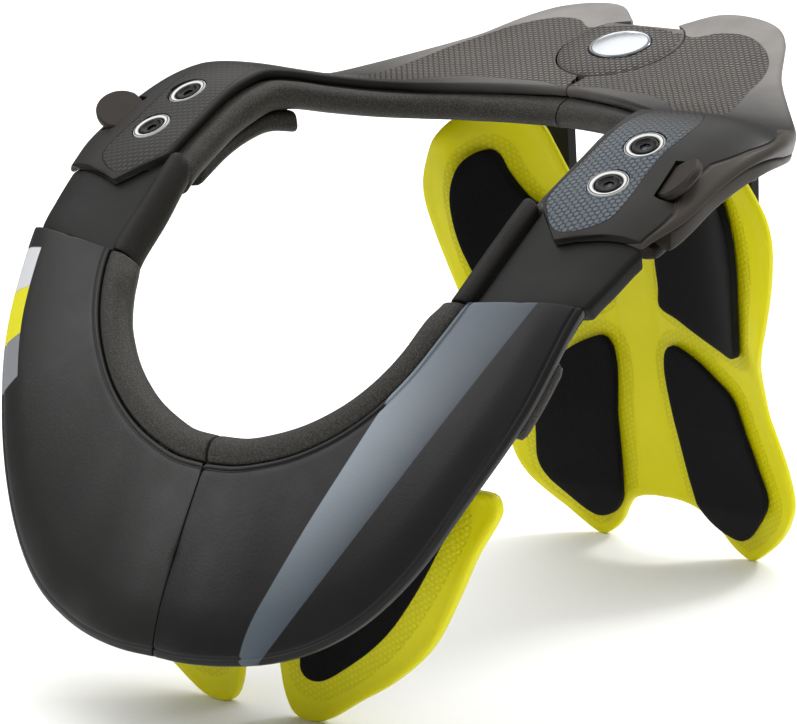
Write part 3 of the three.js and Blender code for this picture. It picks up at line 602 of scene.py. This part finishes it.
def honeycomb(m, cell, plane):
    """Hexagonal cells in the XZ or XY plane from three crossed waves, 0 to 1."""
    total = None
    for angle in (0, 60, 120):
        a = np.radians(angle)
        flat = (np.cos(a), 0, np.sin(a)) if plane == "xz" else (np.cos(a), np.sin(a), 0)
        wave = m.math("COSINE", m.dot(tuple(c * 2 * np.pi / (cell * MM) for c in flat)))
        total = wave if total is None else m.math("ADD", total, wave)
    return m.math("MULTIPLY", m.math("ADD", total, 1.5), 1 / 4.5)


def woven(m, column, thread, turn):
    """Threads that show in every other cell of a grid, -1 to 1."""
    a = np.radians(turn)
    u = m.dot((np.cos(a) / MM, np.sin(a) / MM, 0.0))
    v = m.dot((-np.sin(a) / MM, np.cos(a) / MM, 0.0))
    across = m.math("COSINE", m.math("MULTIPLY", u, np.pi / column))
    return m.math("MULTIPLY", across, m.math("COSINE", m.math("MULTIPLY", v, np.pi / thread)))


def shell_look(name, lit_far_half):
    m = Nodes(name, Roughness=0.38, IOR=1.5, Specular_IOR_Level=0.2 if lit_far_half else 0.18)
    # The far half (bib_right) gets a lighter black than the near half: painted light on one and the same
    # black plastic.
    dark = srgb("#171716") if lit_far_half else srgb("#121213")
    base = m.mix(m.noise(38.0, 3.0), dark, tuple(c * 1.4 for c in dark))
    return m, base


def finish_shell(m, base):
    m.colour(base)
    m.rough(m.span(m.noise(120.0, 4.0), 0.3, 0.42))
    m.bump(m.noise(900.0, 2.0), 0.00008, 0.5)
    return m.material


def bib_left_look():
    m, base = shell_look("bib_left", False)
    inside = m.step(m.value("stripe"), -0.15, 0.15)
    # The stripe's colour is painted lighter at middle height, darker towards its top and darker across
    # towards its right edge: painted light and shade on the grey stripe.
    height = m.dot((0.0, 0.0, 1 / MM))
    stripe_painted_light = m.mix(m.step(height, 50.0, 115.0), srgb("#4d555c"), srgb("#7f878e"))
    stripe_painted_light = m.mix(m.step(height, 118.0, 160.0), stripe_painted_light, srgb("#5a626a"))
    shade = m.mix(m.value("across"), stripe_painted_light, srgb("#3d444b"))
    return finish_shell(m, m.mix(inside, base, shade))


def bib_right_look():
    m, base = shell_look("bib_right", True)
    edge = m.step(m.value("share"), 0.755, 0.762)
    at = m.value("station")
    soft = 0.01

    def band(lo, hi):
        return m.math("MULTIPLY", m.step(at, lo - soft, lo + soft), m.step(at, hi + soft, hi - soft))

    colour = base
    for lo, hi, code in ((8.32, 8.74, "#bcbdc0"), (7.78, 8.32, "#c9c320"), (7.25, 7.78, "#77797c")):
        share = m.math("MULTIPLY", edge, band(lo, hi))
        colour = m.mix(share, colour, srgb(code))
    return finish_shell(m, colour)


def carbon_look():
    m = Nodes("carbon", Roughness=0.34, IOR=1.5, Specular_IOR_Level=0.14)
    weave = woven(m, 2.15, 1.15, 41.0)
    worn = m.noise(60.0, 3.0)
    # Threads turn lighter towards the back: painted sheen on the rear panel's weave.
    back = m.step(m.dot((0.0, 1 / MM, 0.0)), 10.0, 90.0)
    light = m.mix(back, srgb("#383430"), srgb("#766c62"))
    threads = m.mix(m.step(weave, 0.1, 0.6), srgb("#0a0908"), light)
    threads = m.mix(m.math("MULTIPLY", worn, 0.5), threads, srgb("#141110"))
    cells = m.step(honeycomb(m, 2.0, "xy"), 0.1, 0.32)
    cells = m.mix(cells, srgb("#22272c"), srgb("#4d555c"))
    near = m.step(m.dot((0.0, -1 / MM, 0.0)), -24.0, 14.0)
    near = m.math("MULTIPLY", near, m.step(m.dot((1 / MM, 0.0, 0.0)), 40.0, 60.0))
    threads = m.mix(near, threads, cells)
    rim = m.mix(m.noise(30.0, 2.0), srgb("#131211"), srgb("#211f1d"))
    # The rim turns pale grey towards the back: a painted highlight from grazing reflections on the rear
    # lobes.
    rim_highlight = m.step(m.dot((0.0, 1 / MM, 0.0)), 60.0, 130.0)
    rim = m.mix(rim_highlight, rim, m.mix(m.noise(45.0, 4.0), srgb("#595652"), srgb("#8d8a87")))
    inside = m.step(m.value("panel"), -0.12, 0.12)
    lower = m.step(m.value("skirt"), -0.2, 0.2)
    rim = m.mix(lower, rim, srgb("#3a3530"))
    m.colour(m.mix(inside, rim, threads))
    m.rough(m.span(inside, 0.4, 0.32))
    m.bump(m.step(m.math("ABSOLUTE", m.value("skirt")), 0.0, 0.7), 0.0005, 0.9)
    m.bump(m.step(m.value("panel"), -0.5, 0.3), 0.0003, 0.8)
    m.bump(m.math("MULTIPLY", weave, inside), 0.0001, 0.5)
    return m.material


def plastic_look(name, code, rough, grain=0.0001):
    m = Nodes(name, Roughness=rough, IOR=1.5, Specular_IOR_Level=0.12)
    dark = srgb(code)
    m.colour(m.mix(m.noise(45.0, 4.0), tuple(c * 0.8 for c in dark), tuple(c * 1.3 for c in dark)))
    m.rough(m.span(m.noise(150.0, 3.0), rough - 0.06, rough + 0.08))
    m.bump(m.noise(1400.0, 2.0), grain, 0.6)
    return m.material


def cloth_look(name, dark, light, cell, depth, sheen):
    m = Nodes(
        name, Roughness=0.9, Sheen_Weight=sheen, Sheen_Roughness=0.45, IOR=1.4, Specular_IOR_Level=0.15)
    fleck = m.noise(1.0 / (cell * MM), 3.0, 0.65)
    cloud = m.noise(60.0, 3.0)
    threads = m.mix(m.step(fleck, 0.42, 0.62), srgb(dark), srgb(light))
    m.colour(m.mix(m.math("MULTIPLY", cloud, 0.45), threads, srgb(dark)))
    m.bump(fleck, depth * MM, 0.8)
    m.bump(cloud, 0.0006, 0.35)
    return m.material


def foam_look():
    m = Nodes("foam", Roughness=0.55, IOR=1.5, Specular_IOR_Level=0.3)
    grain = m.noise(1900.0, 2.0, 0.6)
    # Lighter flecks on the grain: partly the foam's own grain tone, partly painted glints on the lit grain.
    m.colour(m.mix(m.step(grain, 0.4, 0.66), srgb("#131210"), srgb("#39352f")))
    m.bump(grain, 0.0003, 0.9)
    m.bump(m.noise(60.0, 3.0), 0.0006, 0.35)
    return m.material


def yellow_look():
    m = Nodes(
        "yellow", Roughness=0.42, IOR=1.45, Specular_IOR_Level=0.25, Subsurface_Weight=0.08,
        Subsurface_Scale=0.004, Subsurface_Radius=(1.0, 0.8, 0.1))
    cells = honeycomb(m, 2.0, "xz")
    band = m.step(m.value("band"), 0.0, 0.8)
    pit = m.math("MULTIPLY", m.step(cells, 0.55, 0.3), band)
    plain = m.mix(m.noise(22.0, 3.0), srgb("#d2cc02"), srgb("#ded804"))
    # Pits of the honeycomb band are painted darker: painted shade in the hollows.
    m.colour(m.mix(m.math("MULTIPLY", pit, 0.25), plain, srgb("#a8a30a")))
    m.bump(m.math("SUBTRACT", 1.0, pit), 0.0003, 0.6)
    m.bump(m.noise(700.0, 2.0), 0.00006, 0.5)
    return m.material


def washer_look():
    m = Nodes("washer", Roughness=0.38, IOR=1.5)
    r = m.value("radius")
    outer = m.step(r, 7.25, 7.4)
    white = m.math("MULTIPLY", m.step(r, 5.75, 5.9), m.step(r, 6.9, 6.75))
    m.colour(m.mix(white, m.mix(outer, srgb("#101010"), srgb("#a9a9a8")), srgb("#c4c4c2")))
    m.bump(m.noise(1800.0, 2.0), 0.00003, 0.4)
    return m.material


def badge_look():
    m = Nodes("badge", Roughness=0.22, Metallic=0.85)
    ring = m.step(m.value("ring"), 0.86, 0.9)
    m.colour(m.mix(ring, srgb("#b2b5b9"), srgb("#5d6165")))
    m.rough(m.span(m.noise(400.0, 2.0), 0.16, 0.3))
    return m.material


def build_looks():
    return {
        "bib_left": bib_left_look(),
        "bib_right": bib_right_look(),
        "carbon": carbon_look(),
        "plastic": plastic_look("plastic", "#161514", 0.42),
        "under": plastic_look("under_shell", "#2e2a26", 0.42),
        "frame": plastic_look("frame_plastic", "#0f0f0f", 0.5),
        "foam": foam_look(),
        "leather": plastic_look("leather", "#1b1a18", 0.48, 0.0003),
        "yellow": yellow_look(),
        "pad": cloth_look("pad", "#08080a", "#131417", 0.5, 0.25, 0.05),
        "ring": washer_look(),
        "steel": plastic_look("dark_metal", "#0c0c0d", 0.3),
        "badge": badge_look(),
    }


LOOKS = build_looks()


def hand_over(obj, look, node, body):
    """Gives a piece its finish and its place in the frame."""
    obj.data.materials.clear()
    obj.data.materials.append(LOOKS[look])
    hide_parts(node)
    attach(obj, body)


def both(obj, stem, look, right_look=None):
    """A left piece and its mirrored copy, on their halves."""
    other = mirrored(obj, f"{stem}_right_skin")
    hand_over(obj, look, f"{stem}_left", "left_half")
    hand_over(other, right_look or look, f"{stem}_right", "right_half")


# Front bib, foam rolls and sleeve
def build_front():
    bib = swept("front_shell_left_skin", 0.015, SEAM - 0.02, [
        (0, 0, -0.3), (0, 0.4, 0.1), (0, 1.5, 0.1), (0, 1.8, -0.5), (0, 2.3, -0.5), (0, 2.7, 0),
        (1, -3.4, -0.1), (1, -2.9, -0.6), (1, -2.3, -0.6), (1, -1.9, -0.1), (1, -0.2, -0.7),
        (1, -0.6, -4.2), (0.6, 0, -4), (0, 0, -4),
    ], spacing=2.2, corner=0.7, end=0.9)
    place = points_of(bib)
    stations = np.linspace(0, SEAM, 361)
    shares = np.linspace(0, 1, 61)
    kk, ff = np.repeat(stations, len(shares)), np.tile(shares, len(stations))
    surface = collar_point(kk, ff)
    nearest = np.empty(len(place), int)
    for i in range(0, len(place), 500):
        part = place[i:i + 500]
        nearest[i:i + 500] = ((part[:, None] - surface[None]) ** 2).sum(2).argmin(1)
    paint(bib, "station", kk[nearest])
    paint(bib, "share", ff[nearest])
    left, right = side_of(place, STRIPE_LEFT, 1), side_of(place, STRIPE_RIGHT, -1)
    paint(bib, "stripe", np.minimum(left, right))
    # Share across the stripe, which the bib's finish uses for the stripe's painted shade towards its right
    # edge.
    paint(bib, "across", np.clip(left / np.maximum(left + right, 1), 0, 1))
    both(bib, "front_shell", "bib_left", right_look="bib_right")

    roll = swept("front_pad_left_skin", 0.02, SEAM - 0.03, [
        (0, -0.1, -0.8), (0, -0.1, -9), (0, -3, -12.4), (0, -8, -12.2), (0, -11.4, -8), (0, -11.6, -3.5),
        (0, -9, 0.2), (0, -4, 0.8),
    ], corner=2.8, end=1.0)
    both(roll, "front_pad", "foam")
    sleeve = swept("sleeve_left_skin", SEAM + 0.02, ARM - 0.05, [
        (0, -0.15, -1), (0, -0.15, -10), (0, -3, -14), (0, -7.5, -13), (0, -9.4, -8), (0, -9, -3),
        (0, -6.5, 0.4), (0, -3, 0.9),
    ], corner=4, end=0.8)
    both(sleeve, "sleeve", "leather")
    rim = swept("rim_pad_left_skin", 7.78, 8.5, [
        (0.6, 0, -4.5), (0.99, 0, -4.8), (1, 0.2, -6.5), (1, -0.4, -9), (0.96, 0, -10.6), (0.6, 0, -10.4),
    ], corner=2.5, end=2.5)
    both(rim, "rim_pad", "foam")


def side_of(points, three, sign):
    """Signed distance to the plane through three points: sign 1 counts towards +X, -1 away from it."""
    a, b, c = (np.array(p, float) for p in three)
    normal = unit(np.cross(b - a, c - a))
    if normal[0] < 0:
        normal = -normal
    return (points - a) @ normal * sign


# Connector, rear cover and lower shell
def build_arms():
    beam = swept("connector_left_skin", SEAM + 0.03, ARM - 0.03, [
        (0.03, 0, -3.3), (0.96, 0, -3.3), (0.99, 0, -4.6), (0.985, 0, -10), (0.9, 0, -12), (0.06, 0, -12),
        (0.01, 0, -10), (0.01, 0, -5),
    ], corner=1.2, end=0.8)
    tongue = swept("tongue", ARM - 0.4, ARM + 3, [
        (0.16, 0, -3.6), (0.82, 0, -3.8), (0.82, 0, -8), (0.16, 0, -8),
    ], corner=0.4, end=0.2)
    key = swept("key", SEAM - 0.28, SEAM + 0.4, [
        (0.05, 0, -5), (0.93, 0, -5), (0.93, 0, -9), (0.05, 0, -9),
    ], corner=0.4, end=0.2)
    both(carve(beam, [tongue, key], "UNION"), "connector", "plastic")

    cover = swept("rear_cover_left_skin", ARM, REAR, [
        (0, 0.9, 0), (0.87, 0, 0), (1, -1.2, 0.1), (1, 0.1, -2), (1, -1.5, -0.6, 1), (0.87, 0, 0, 1),
        (0, 7.5, 0, 1), (0, 6, -4.1), (0, 0.6, -4.1), (0, 0, -1.2),
    ], spacing=1.9, corner=1.3, end=0.5, point=True)
    axis = SCREW["axis"]
    at = {name: collar_point(s["station"], s["share"], s["lift"])[0] for name, s in SCREWS.items()}
    well = SCREW["well"]
    profile = [(0, -1.6), (well, -1.6), (well, 0.4), (well + 0.7, 2.2), (well + 0.7, 6), (0, 6)]
    wells = [lathe("well", profile, spot, axis, 48) for spot in at.values()]
    hole = lathe("hole", [(0, -20), (HINGE["radius"], -20), (HINGE["radius"], 12), (0, 12)],
                 (0, HINGE["y"], HINGE["z"]), hinge_axis(), 96)
    carve(cover, [*wells, hole, far_side(), lug("pocket", LUG["pocket"])])
    place = points_of(cover)
    facing = normals_of(cover)[:, 2] > 0.25
    plan = np.stack([np.abs(place[:, 0]), place[:, 1]], axis=1)
    panel = np.max([loop_distance(plan, smooth_loop(p, 1.0)) for p in (ARM_PANEL, REAR_PANEL)], axis=0)
    paint(cover, "panel", np.where(facing, panel, OFF))
    paint(cover, "skirt", skirt(place))
    both(cover, "rear_cover", "carbon")

    base = swept("lower_shell_left_skin", ARM + 0.75, 19.6, [
        (0, 8, -0.5, 1.04), (0.87, 0, -0.5, 1.04), (1, -1.7, -1.1, 1.04), (0.98, -1.6, -12.5, -0.15),
        (0.9, 0, -15, -0.38), (0, 8, -15.5, -0.38),
    ], corner=1.5, end=0.8)
    room = swept("room", ARM - 0.5, ARM + 3.06, [
        (0.15, -0.2, -2), (0.83, 0.2, -2), (0.83, 0.2, -8.4), (0.15, -0.2, -8.4),
    ], corner=0.3, end=0.1)
    carve(base, [room])
    carve(base, [lug("lug", 0)], "UNION")
    both(base, "lower_shell", "under")

    rear = swept("rear_pad_left_skin", ARM + 0.02, REAR, [
        (0, 5, -4.9), (0, 5, -13.5, -0.3), (0, 2, -19.9, -0.65), (0, -4, -19.9, -0.65),
        (0, -7.4, -15, -0.4), (0, -7.6, -8.5), (0, -5, -5), (0, 0, -4.5),
    ], corner=4, end=1.0)
    carve(rear, [far_side()])
    both(rear, "rear_pad", "foam")
    shoulder = swept("shoulder_pad_left_skin", ARM + 0.8, 16.1, [
        (0, -1, -20.7, -0.65), (0, 6.4, -20.7, -0.65), (0, 8.6, -16.4, -0.38), (0.8, 0, -18.8, -0.38),
        (0.8, 0, -21), (0.7, 0, -24), (0.3, 0, -25.5), (0, 0, -25), (0, -2, -23),
    ], corner=3, end=2.0)
    both(shoulder, "shoulder_pad", "foam")
    for name, spot in at.items():
        build_screw(name, spot, axis)


def skirt(place):
    """Signed distance below the parting line on the outer side of the arm."""
    line = np.interp(place[:, 1], [p[0] for p in PARTING], [p[1] for p in PARTING])
    outside = smoothstep(np.abs(place[:, 0]), 118, 124)
    return (line - place[:, 2]) * outside - 4 * (1 - outside)


def hinge_axis():
    lean = np.radians(HINGE["tilt"])
    return (0, -np.sin(lean), np.cos(lean))


def block(name, xs, ys, zs):
    corners = [(x, y, z) for x in xs for y in ys for z in zs]
    faces = [(0, 1, 3, 2), (4, 6, 7, 5), (0, 4, 5, 1), (2, 3, 7, 6), (0, 2, 6, 4), (1, 5, 7, 3)]
    return new_mesh(name, corners, faces)


def far_side():
    """Cutter for all that lies beyond the rear centre seam."""
    return block("far_side", (-40, SEAM_GAP), (-400, 400), (-400, 400))


def lug(name, grow):
    """Half-round strap lug, with its long flat side sunk in the arm."""
    angle = np.radians(np.linspace(-90, 90, 33))
    out, half = LUG["out"] + grow, LUG["half"] + grow
    arc = np.stack([out * np.cos(angle) - grow, half * np.sin(angle)], axis=1)
    root = -LUG["sunk"] - grow
    arc = np.vstack([arc, [[root, half * 0.8], [root, -half * 0.8]]])
    lean = np.radians(LUG["lean"])
    along = np.array([0, np.cos(lean), np.sin(lean)])
    up = np.array([0, -np.sin(lean), np.cos(lean)])
    rise = np.radians(LUG["rise"])
    outward = np.array([np.cos(rise), 0, 0]) + up * np.sin(rise)
    up = np.cross(outward, along)
    at = collar_point(LUG["station"], LUG["share"], LUG["lift"])[0]
    thick = LUG["thick"] / 2 + grow
    vertices = []
    for level, shrink in ((-thick, 0.93), (-0.5 * thick, 1), (0.5 * thick, 1), (thick, 0.93)):
        for x, y in arc * (1 if grow else shrink):
            vertices.append(at + outward * x + along * y + up * level)
    n = len(arc)
    faces = [[i * n + j, i * n + (j + 1) % n, (i + 1) * n + (j + 1) % n, (i + 1) * n + j]
             for i in range(3) for j in range(n)]
    faces += [list(range(n)), list(range(3 * n, 4 * n))]
    return new_mesh(name, vertices, faces)


def build_screw(name, at, axis):
    head, outer, socket = SCREW["head"], SCREW["washer"], SCREW["socket"]
    inner = head + 0.35
    washer = lathe(f"washer_{name}_left_skin", [
        (inner, -1.25), (outer, -1.25), (outer, -0.3), (outer - 0.25, 0.05), (outer - 0.7, 0.2),
        (inner, -0.3),
    ], at, axis, 64)
    away = points_of(washer) - at
    along = np.array(axis) / np.linalg.norm(axis)
    paint(washer, "radius", np.linalg.norm(away - np.outer(away @ along, along), axis=1))
    both(washer, f"washer_{name}", "ring")
    screw = lathe(f"screw_{name}_left_skin", [
        (0, -4), (head, -4), (head, -0.4), (head - 0.25, -0.12), (head - 0.8, 0), (socket + 1.4, -0.55),
        (socket + 0.6, -0.8), (0, -0.8),
    ], at, axis, 48)
    carve(screw, [lathe("socket", [(0, -3), (socket, -3), (socket, 2), (0, 2)], at, axis, 6)])
    both(screw, f"screw_{name}", "steel")


# Hinge disc and badge
def build_hinge():
    at, axis, radius = (0, HINGE["y"], HINGE["z"]), hinge_axis(), HINGE["radius"]
    disc = lathe("hinge_disc_skin", [
        (0, -HINGE["disc"]), (radius - 0.6, -HINGE["disc"]), (radius - 0.6, 0.1), (radius - 0.9, 0.7),
        (radius - 1.9, 1.0), (14, 1.15), (0, 1.2),
    ], at, axis, 128)
    well = lathe("badge_well", [(0, -2), (1, -2), (1, 6), (0, 6)], at, axis, 96,
                 (BADGE["rx"] + GAP, BADGE["ry"] + GAP))
    bevel = block("bevel", (-40, 40), (-15, 15), (-6, 6))
    lean = np.radians(HINGE["tilt"] - DISC_CUT["lean"])
    spot = ((HINGE["y"] + DISC_CUT["back"] - MID_Y) * MM, (HINGE["z"] + DISC_CUT["up"]) * MM)
    bevel.data.transform(
        Matrix.Translation((0, *spot)) @ Matrix.Rotation(lean, 4, "X")
        @ Matrix.Translation((0, MID_Y * MM, 0)))
    carve(disc, [well, bevel])
    place = points_of(disc)
    level = (place - np.array(at)) @ np.array(axis)
    from_axis = np.linalg.norm(place - np.array(at) - np.outer(level, axis), axis=1)
    top = (level > 0.3) & (place[:, 1] < HINGE["y"] + 14)
    paint(disc, "panel", np.where(top, radius - 1.4 - from_axis, OFF))
    hand_over(disc, "carbon", "hinge_disc", "rear_core")

    profile = [(0, -1.7), (1, -1.7), (1, 1.2), (0.985, 1.7), (0.95, 1.95), (0.9, 1.9), (0.88, 1.65)]
    profile += [(r, 1.65 + 1.1 * (1 - (r / 0.88) ** 2)) for r in (0.8, 0.65, 0.45, 0.22, 0)]
    badge = lathe("badge_skin", profile, at, axis, 96, (BADGE["rx"], BADGE["ry"]), 50)
    place = points_of(badge)
    ring = np.hypot(place[:, 0] / BADGE["rx"], (place[:, 1] - HINGE["y"]) / BADGE["ry"])
    paint(badge, "ring", ring)
    hand_over(badge, "badge", "badge", "rear_core")


# Back plate and chest flaps with their pads
def sized(points, width, height):
    return [(x * width, z * height) for x, z in points]


def pad_layers(back, face, soft):
    """Layers of a pad from its hidden face to its crowned face."""
    way = 1 if face > back else -1
    return [
        (0.8, back), (0.0, back + 0.5 * way), (0.0, face - 0.62 * soft * way),
        (0.22 * soft, face - 0.25 * soft * way), (0.7 * soft, face - 0.05 * soft * way), (1.6 * soft, face),
    ]


def crowned(outline, back, face, swell):
    """Relief that swells a pad's face towards its middle."""
    loop = smooth_loop(outline, 2.0)
    way = 1 if face > back else -1

    def relief(plan, offsets):
        depth = np.clip(loop_distance(plan, loop), 0, 14) / 14
        share = np.clip((offsets - back) / (face - back), 0, 1)
        return way * swell * share * np.sin(depth * np.pi / 2)
    return relief


def build_plate():
    half = sized(PLATE_OUTLINE, PLATE["half"], PLATE["height"])
    full = half + [(-x, z) for x, z in half[1:-1]][::-1]
    upper = sized(UPPER_PAD, PLATE["half"], PLATE["height"])
    lower = sized(LOWER_PAD, PLATE["half"], PLATE["height"])
    edge = smooth_loop(full, 2.0)

    def relief(plan, offsets):
        front = offsets < 0.5
        rim = 1 - smoothstep(loop_distance(plan, edge), 2.2, 4.6)
        crease = np.exp(-((np.abs(plan[:, 0]) - 8.0 - 0.02 * plan[:, 1]) / 1.6) ** 2)
        crease = crease * smoothstep(plan[:, 1], 30, 60) * (1 - smoothstep(plan[:, 1], 120, 140))
        return np.where(front, 0.55 * (1 - rim) + 0.5 * crease, 0)

    thick = PLATE["thick"]
    plate = slab("back_plate_skin", full, plate_y, [
        (1.2, thick), (0.35, thick - 0.3), (0, thick - 1.0), (0, 1.0), (0.35, 0.3), (1.2, 0),
    ], relief, spacing=2.2)
    place = points_of(plate)
    plan = place[:, [0, 2]]
    folded = np.stack([np.abs(plan[:, 0]), plan[:, 1]], axis=1)
    around = np.max([loop_distance(folded, smooth_loop(pad, 2.0)) for pad in (upper, lower)], axis=0)
    band = np.minimum(6.5 + around, loop_distance(plan, edge) - 3.6)
    paint(plate, "band", np.where(normals_of(plate)[:, 1] < -0.2, band, OFF))
    hand_over(plate, "yellow", "back_plate", "rear_core")

    pads = (
        ("upper_back_pad", upper, -PAD_THICK["upper"], 0.5, 1.6),
        ("lower_back_pad", lower, -PAD_THICK["lower"], 0.4, 1.2),
    )
    for stem, outline, face, swell, soft in pads:
        for side, sign in (("left", 1), ("right", -1)):
            pad = slab(f"{stem}_{side}_skin", outline, plate_y, pad_layers(-GAP, face, soft),
                       crowned(outline, -GAP, face, swell), side=sign)
            hand_over(pad, "pad", f"{stem}_{side}", "rear_core")


def build_flaps():
    outline = sized(FLAP_OUTLINE, FLAP["reach"], FLAP["height"])
    pad = sized(FLAP_PAD, FLAP["reach"], FLAP["height"])
    edge, seat = smooth_loop(outline, 2.0), smooth_loop(pad, 2.0)
    half = FLAP["thick"] / 2

    def relief(plan, offsets):
        tray = smoothstep(loop_distance(plan, edge), 2.0, 4.4)
        return np.where(offsets > 0.5 * half, -0.8, np.where(offsets < -0.5 * half, 0.8, 0)) * tray

    flap = slab("chest_flap_left_skin", outline, flap_y, [
        (1.3, half), (0.4, half - 0.35), (0, half - 1.2), (0, 1.2 - half), (0.4, 0.35 - half),
        (1.3, -half),
    ], relief)
    place = points_of(flap)
    plan = place[:, [0, 2]]
    band = np.minimum(7.5 + loop_distance(plan, seat), loop_distance(plan, edge) - 4.0)
    paint(flap, "band", np.where(np.abs(normals_of(flap)[:, 1]) > 0.3, band, OFF))
    both(flap, "chest_flap", "yellow")
    front, back = -half - 0.3, half + 3.5
    soft_front = slab("flap_pad_front_left_skin", pad, flap_y, pad_layers(-0.5, front, 0.8),
                      crowned(pad, -0.5, front, 0.3))
    both(soft_front, "flap_pad_front", "pad")
    soft_back = slab("flap_pad_back_left_skin", pad, flap_y, pad_layers(1.1, back, 1.8),
                     crowned(pad, 1.1, back, 0.6))
    both(soft_back, "flap_pad_back", "pad")


# Plain structure stays as the frame has it, with softened edges
def dress_frame():
    for name in ("hinge_bridge", "front_frame_left", "front_frame_right"):
        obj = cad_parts[name]
        obj.data.materials.clear()
        obj.data.materials.append(LOOKS["frame"])
        bevel = obj.modifiers.new("edge", "BEVEL")
        bevel.width = 0.0008
        bevel.segments = 3
        bevel.limit_method = "ANGLE"
        bevel.angle_limit = np.radians(40)


# Floor, light and camera
def area(name, place, target, size, power):
    data = bpy.data.lights.new(name, "AREA")
    data.shape = "RECTANGLE"
    data.size, data.size_y = size
    data.energy = power
    lamp = bpy.data.objects.new(name, data)
    lamp.location = place
    lamp.rotation_euler = (Vector(target) - Vector(place)).to_track_quat("-Z", "Y").to_euler()
    bpy.context.scene.collection.objects.link(lamp)


def build_stage():
    mesh = bpy.data.meshes.new("floor")
    reach = 12.0
    corners = [(-reach, -reach, 0), (reach, -reach, 0), (reach, reach, 0), (-reach, reach, 0)]
    mesh.from_pydata(corners, [], [(0, 1, 2, 3)])
    floor = bpy.data.objects.new("floor", mesh)
    bpy.context.scene.collection.objects.link(floor)
    m = Nodes("floor", Roughness=0.9)
    m.colour((0.93, 0.93, 0.93))
    mesh.materials.append(m.material)
    world = bpy.context.scene.world or bpy.data.worlds.new("world")
    bpy.context.scene.world = world
    world.use_nodes = True
    sky = world.node_tree.nodes["Background"]
    sky.inputs["Color"].default_value = (1, 1, 1, 1)
    tree = world.node_tree
    height = tree.nodes.new("ShaderNodeSeparateXYZ")
    tree.links.new(tree.nodes.new("ShaderNodeTexCoord").outputs["Generated"], height.inputs[0])
    glow = tree.nodes.new("ShaderNodeMapRange")
    for key, value in (("From Min", 0.1), ("From Max", 0.85), ("To Min", 0.12), ("To Max", 0.95)):
        glow.inputs[key].default_value = value
    tree.links.new(height.outputs["Z"], glow.inputs["Value"])
    tree.links.new(glow.outputs["Result"], sky.inputs["Strength"])
    middle = (0, 0, 0.1)
    area("top", (-0.6, 0.8, 2.6), (-0.3, 0.8, 0), (4.8, 4.8), 100)
    area("key", (-1.3, -1.2, 1.4), middle, (0.9, 0.9), 12)
    area("fill", (1.0, -1.9, 0.5), middle, (0.8, 0.8), 4.5)
    area("rim", (0.55, 1.5, 1.2), middle, (0.5, 0.35), 15)


def build_camera():
    a, e, r = (np.radians(VIEW[key]) for key in ("azimuth", "elevation", "roll"))
    back = np.array([np.sin(a) * np.cos(e), -np.cos(a) * np.cos(e), np.sin(e)])
    right = np.array([np.cos(a), np.sin(a), 0])
    up = np.cross(back, right)
    rolled = np.cos(r) * right + np.sin(r) * up, -np.sin(r) * right + np.cos(r) * up
    target = (np.array(VIEW["target"]) - [0, MID_Y, 0]) * MM
    place = target + back * VIEW["distance"] * MM
    matrix = np.eye(4)
    matrix[:3, 0], matrix[:3, 1], matrix[:3, 2], matrix[:3, 3] = rolled[0], rolled[1], back, place
    data = bpy.data.cameras.new("camera")
    data.lens = VIEW["lens"]
    data.sensor_width = 36
    data.clip_start = 0.05
    camera = bpy.data.objects.new("camera", data)
    camera.matrix_world = Matrix(matrix.tolist())
    bpy.context.scene.collection.objects.link(camera)
    bpy.context.scene.camera = camera
    bpy.context.scene.view_settings.view_transform = "Standard"


build_camera()
build_stage()
build_front()
build_arms()
build_hinge()
build_plate()
build_flaps()
dress_frame()

bpy.context.view_layer.update()
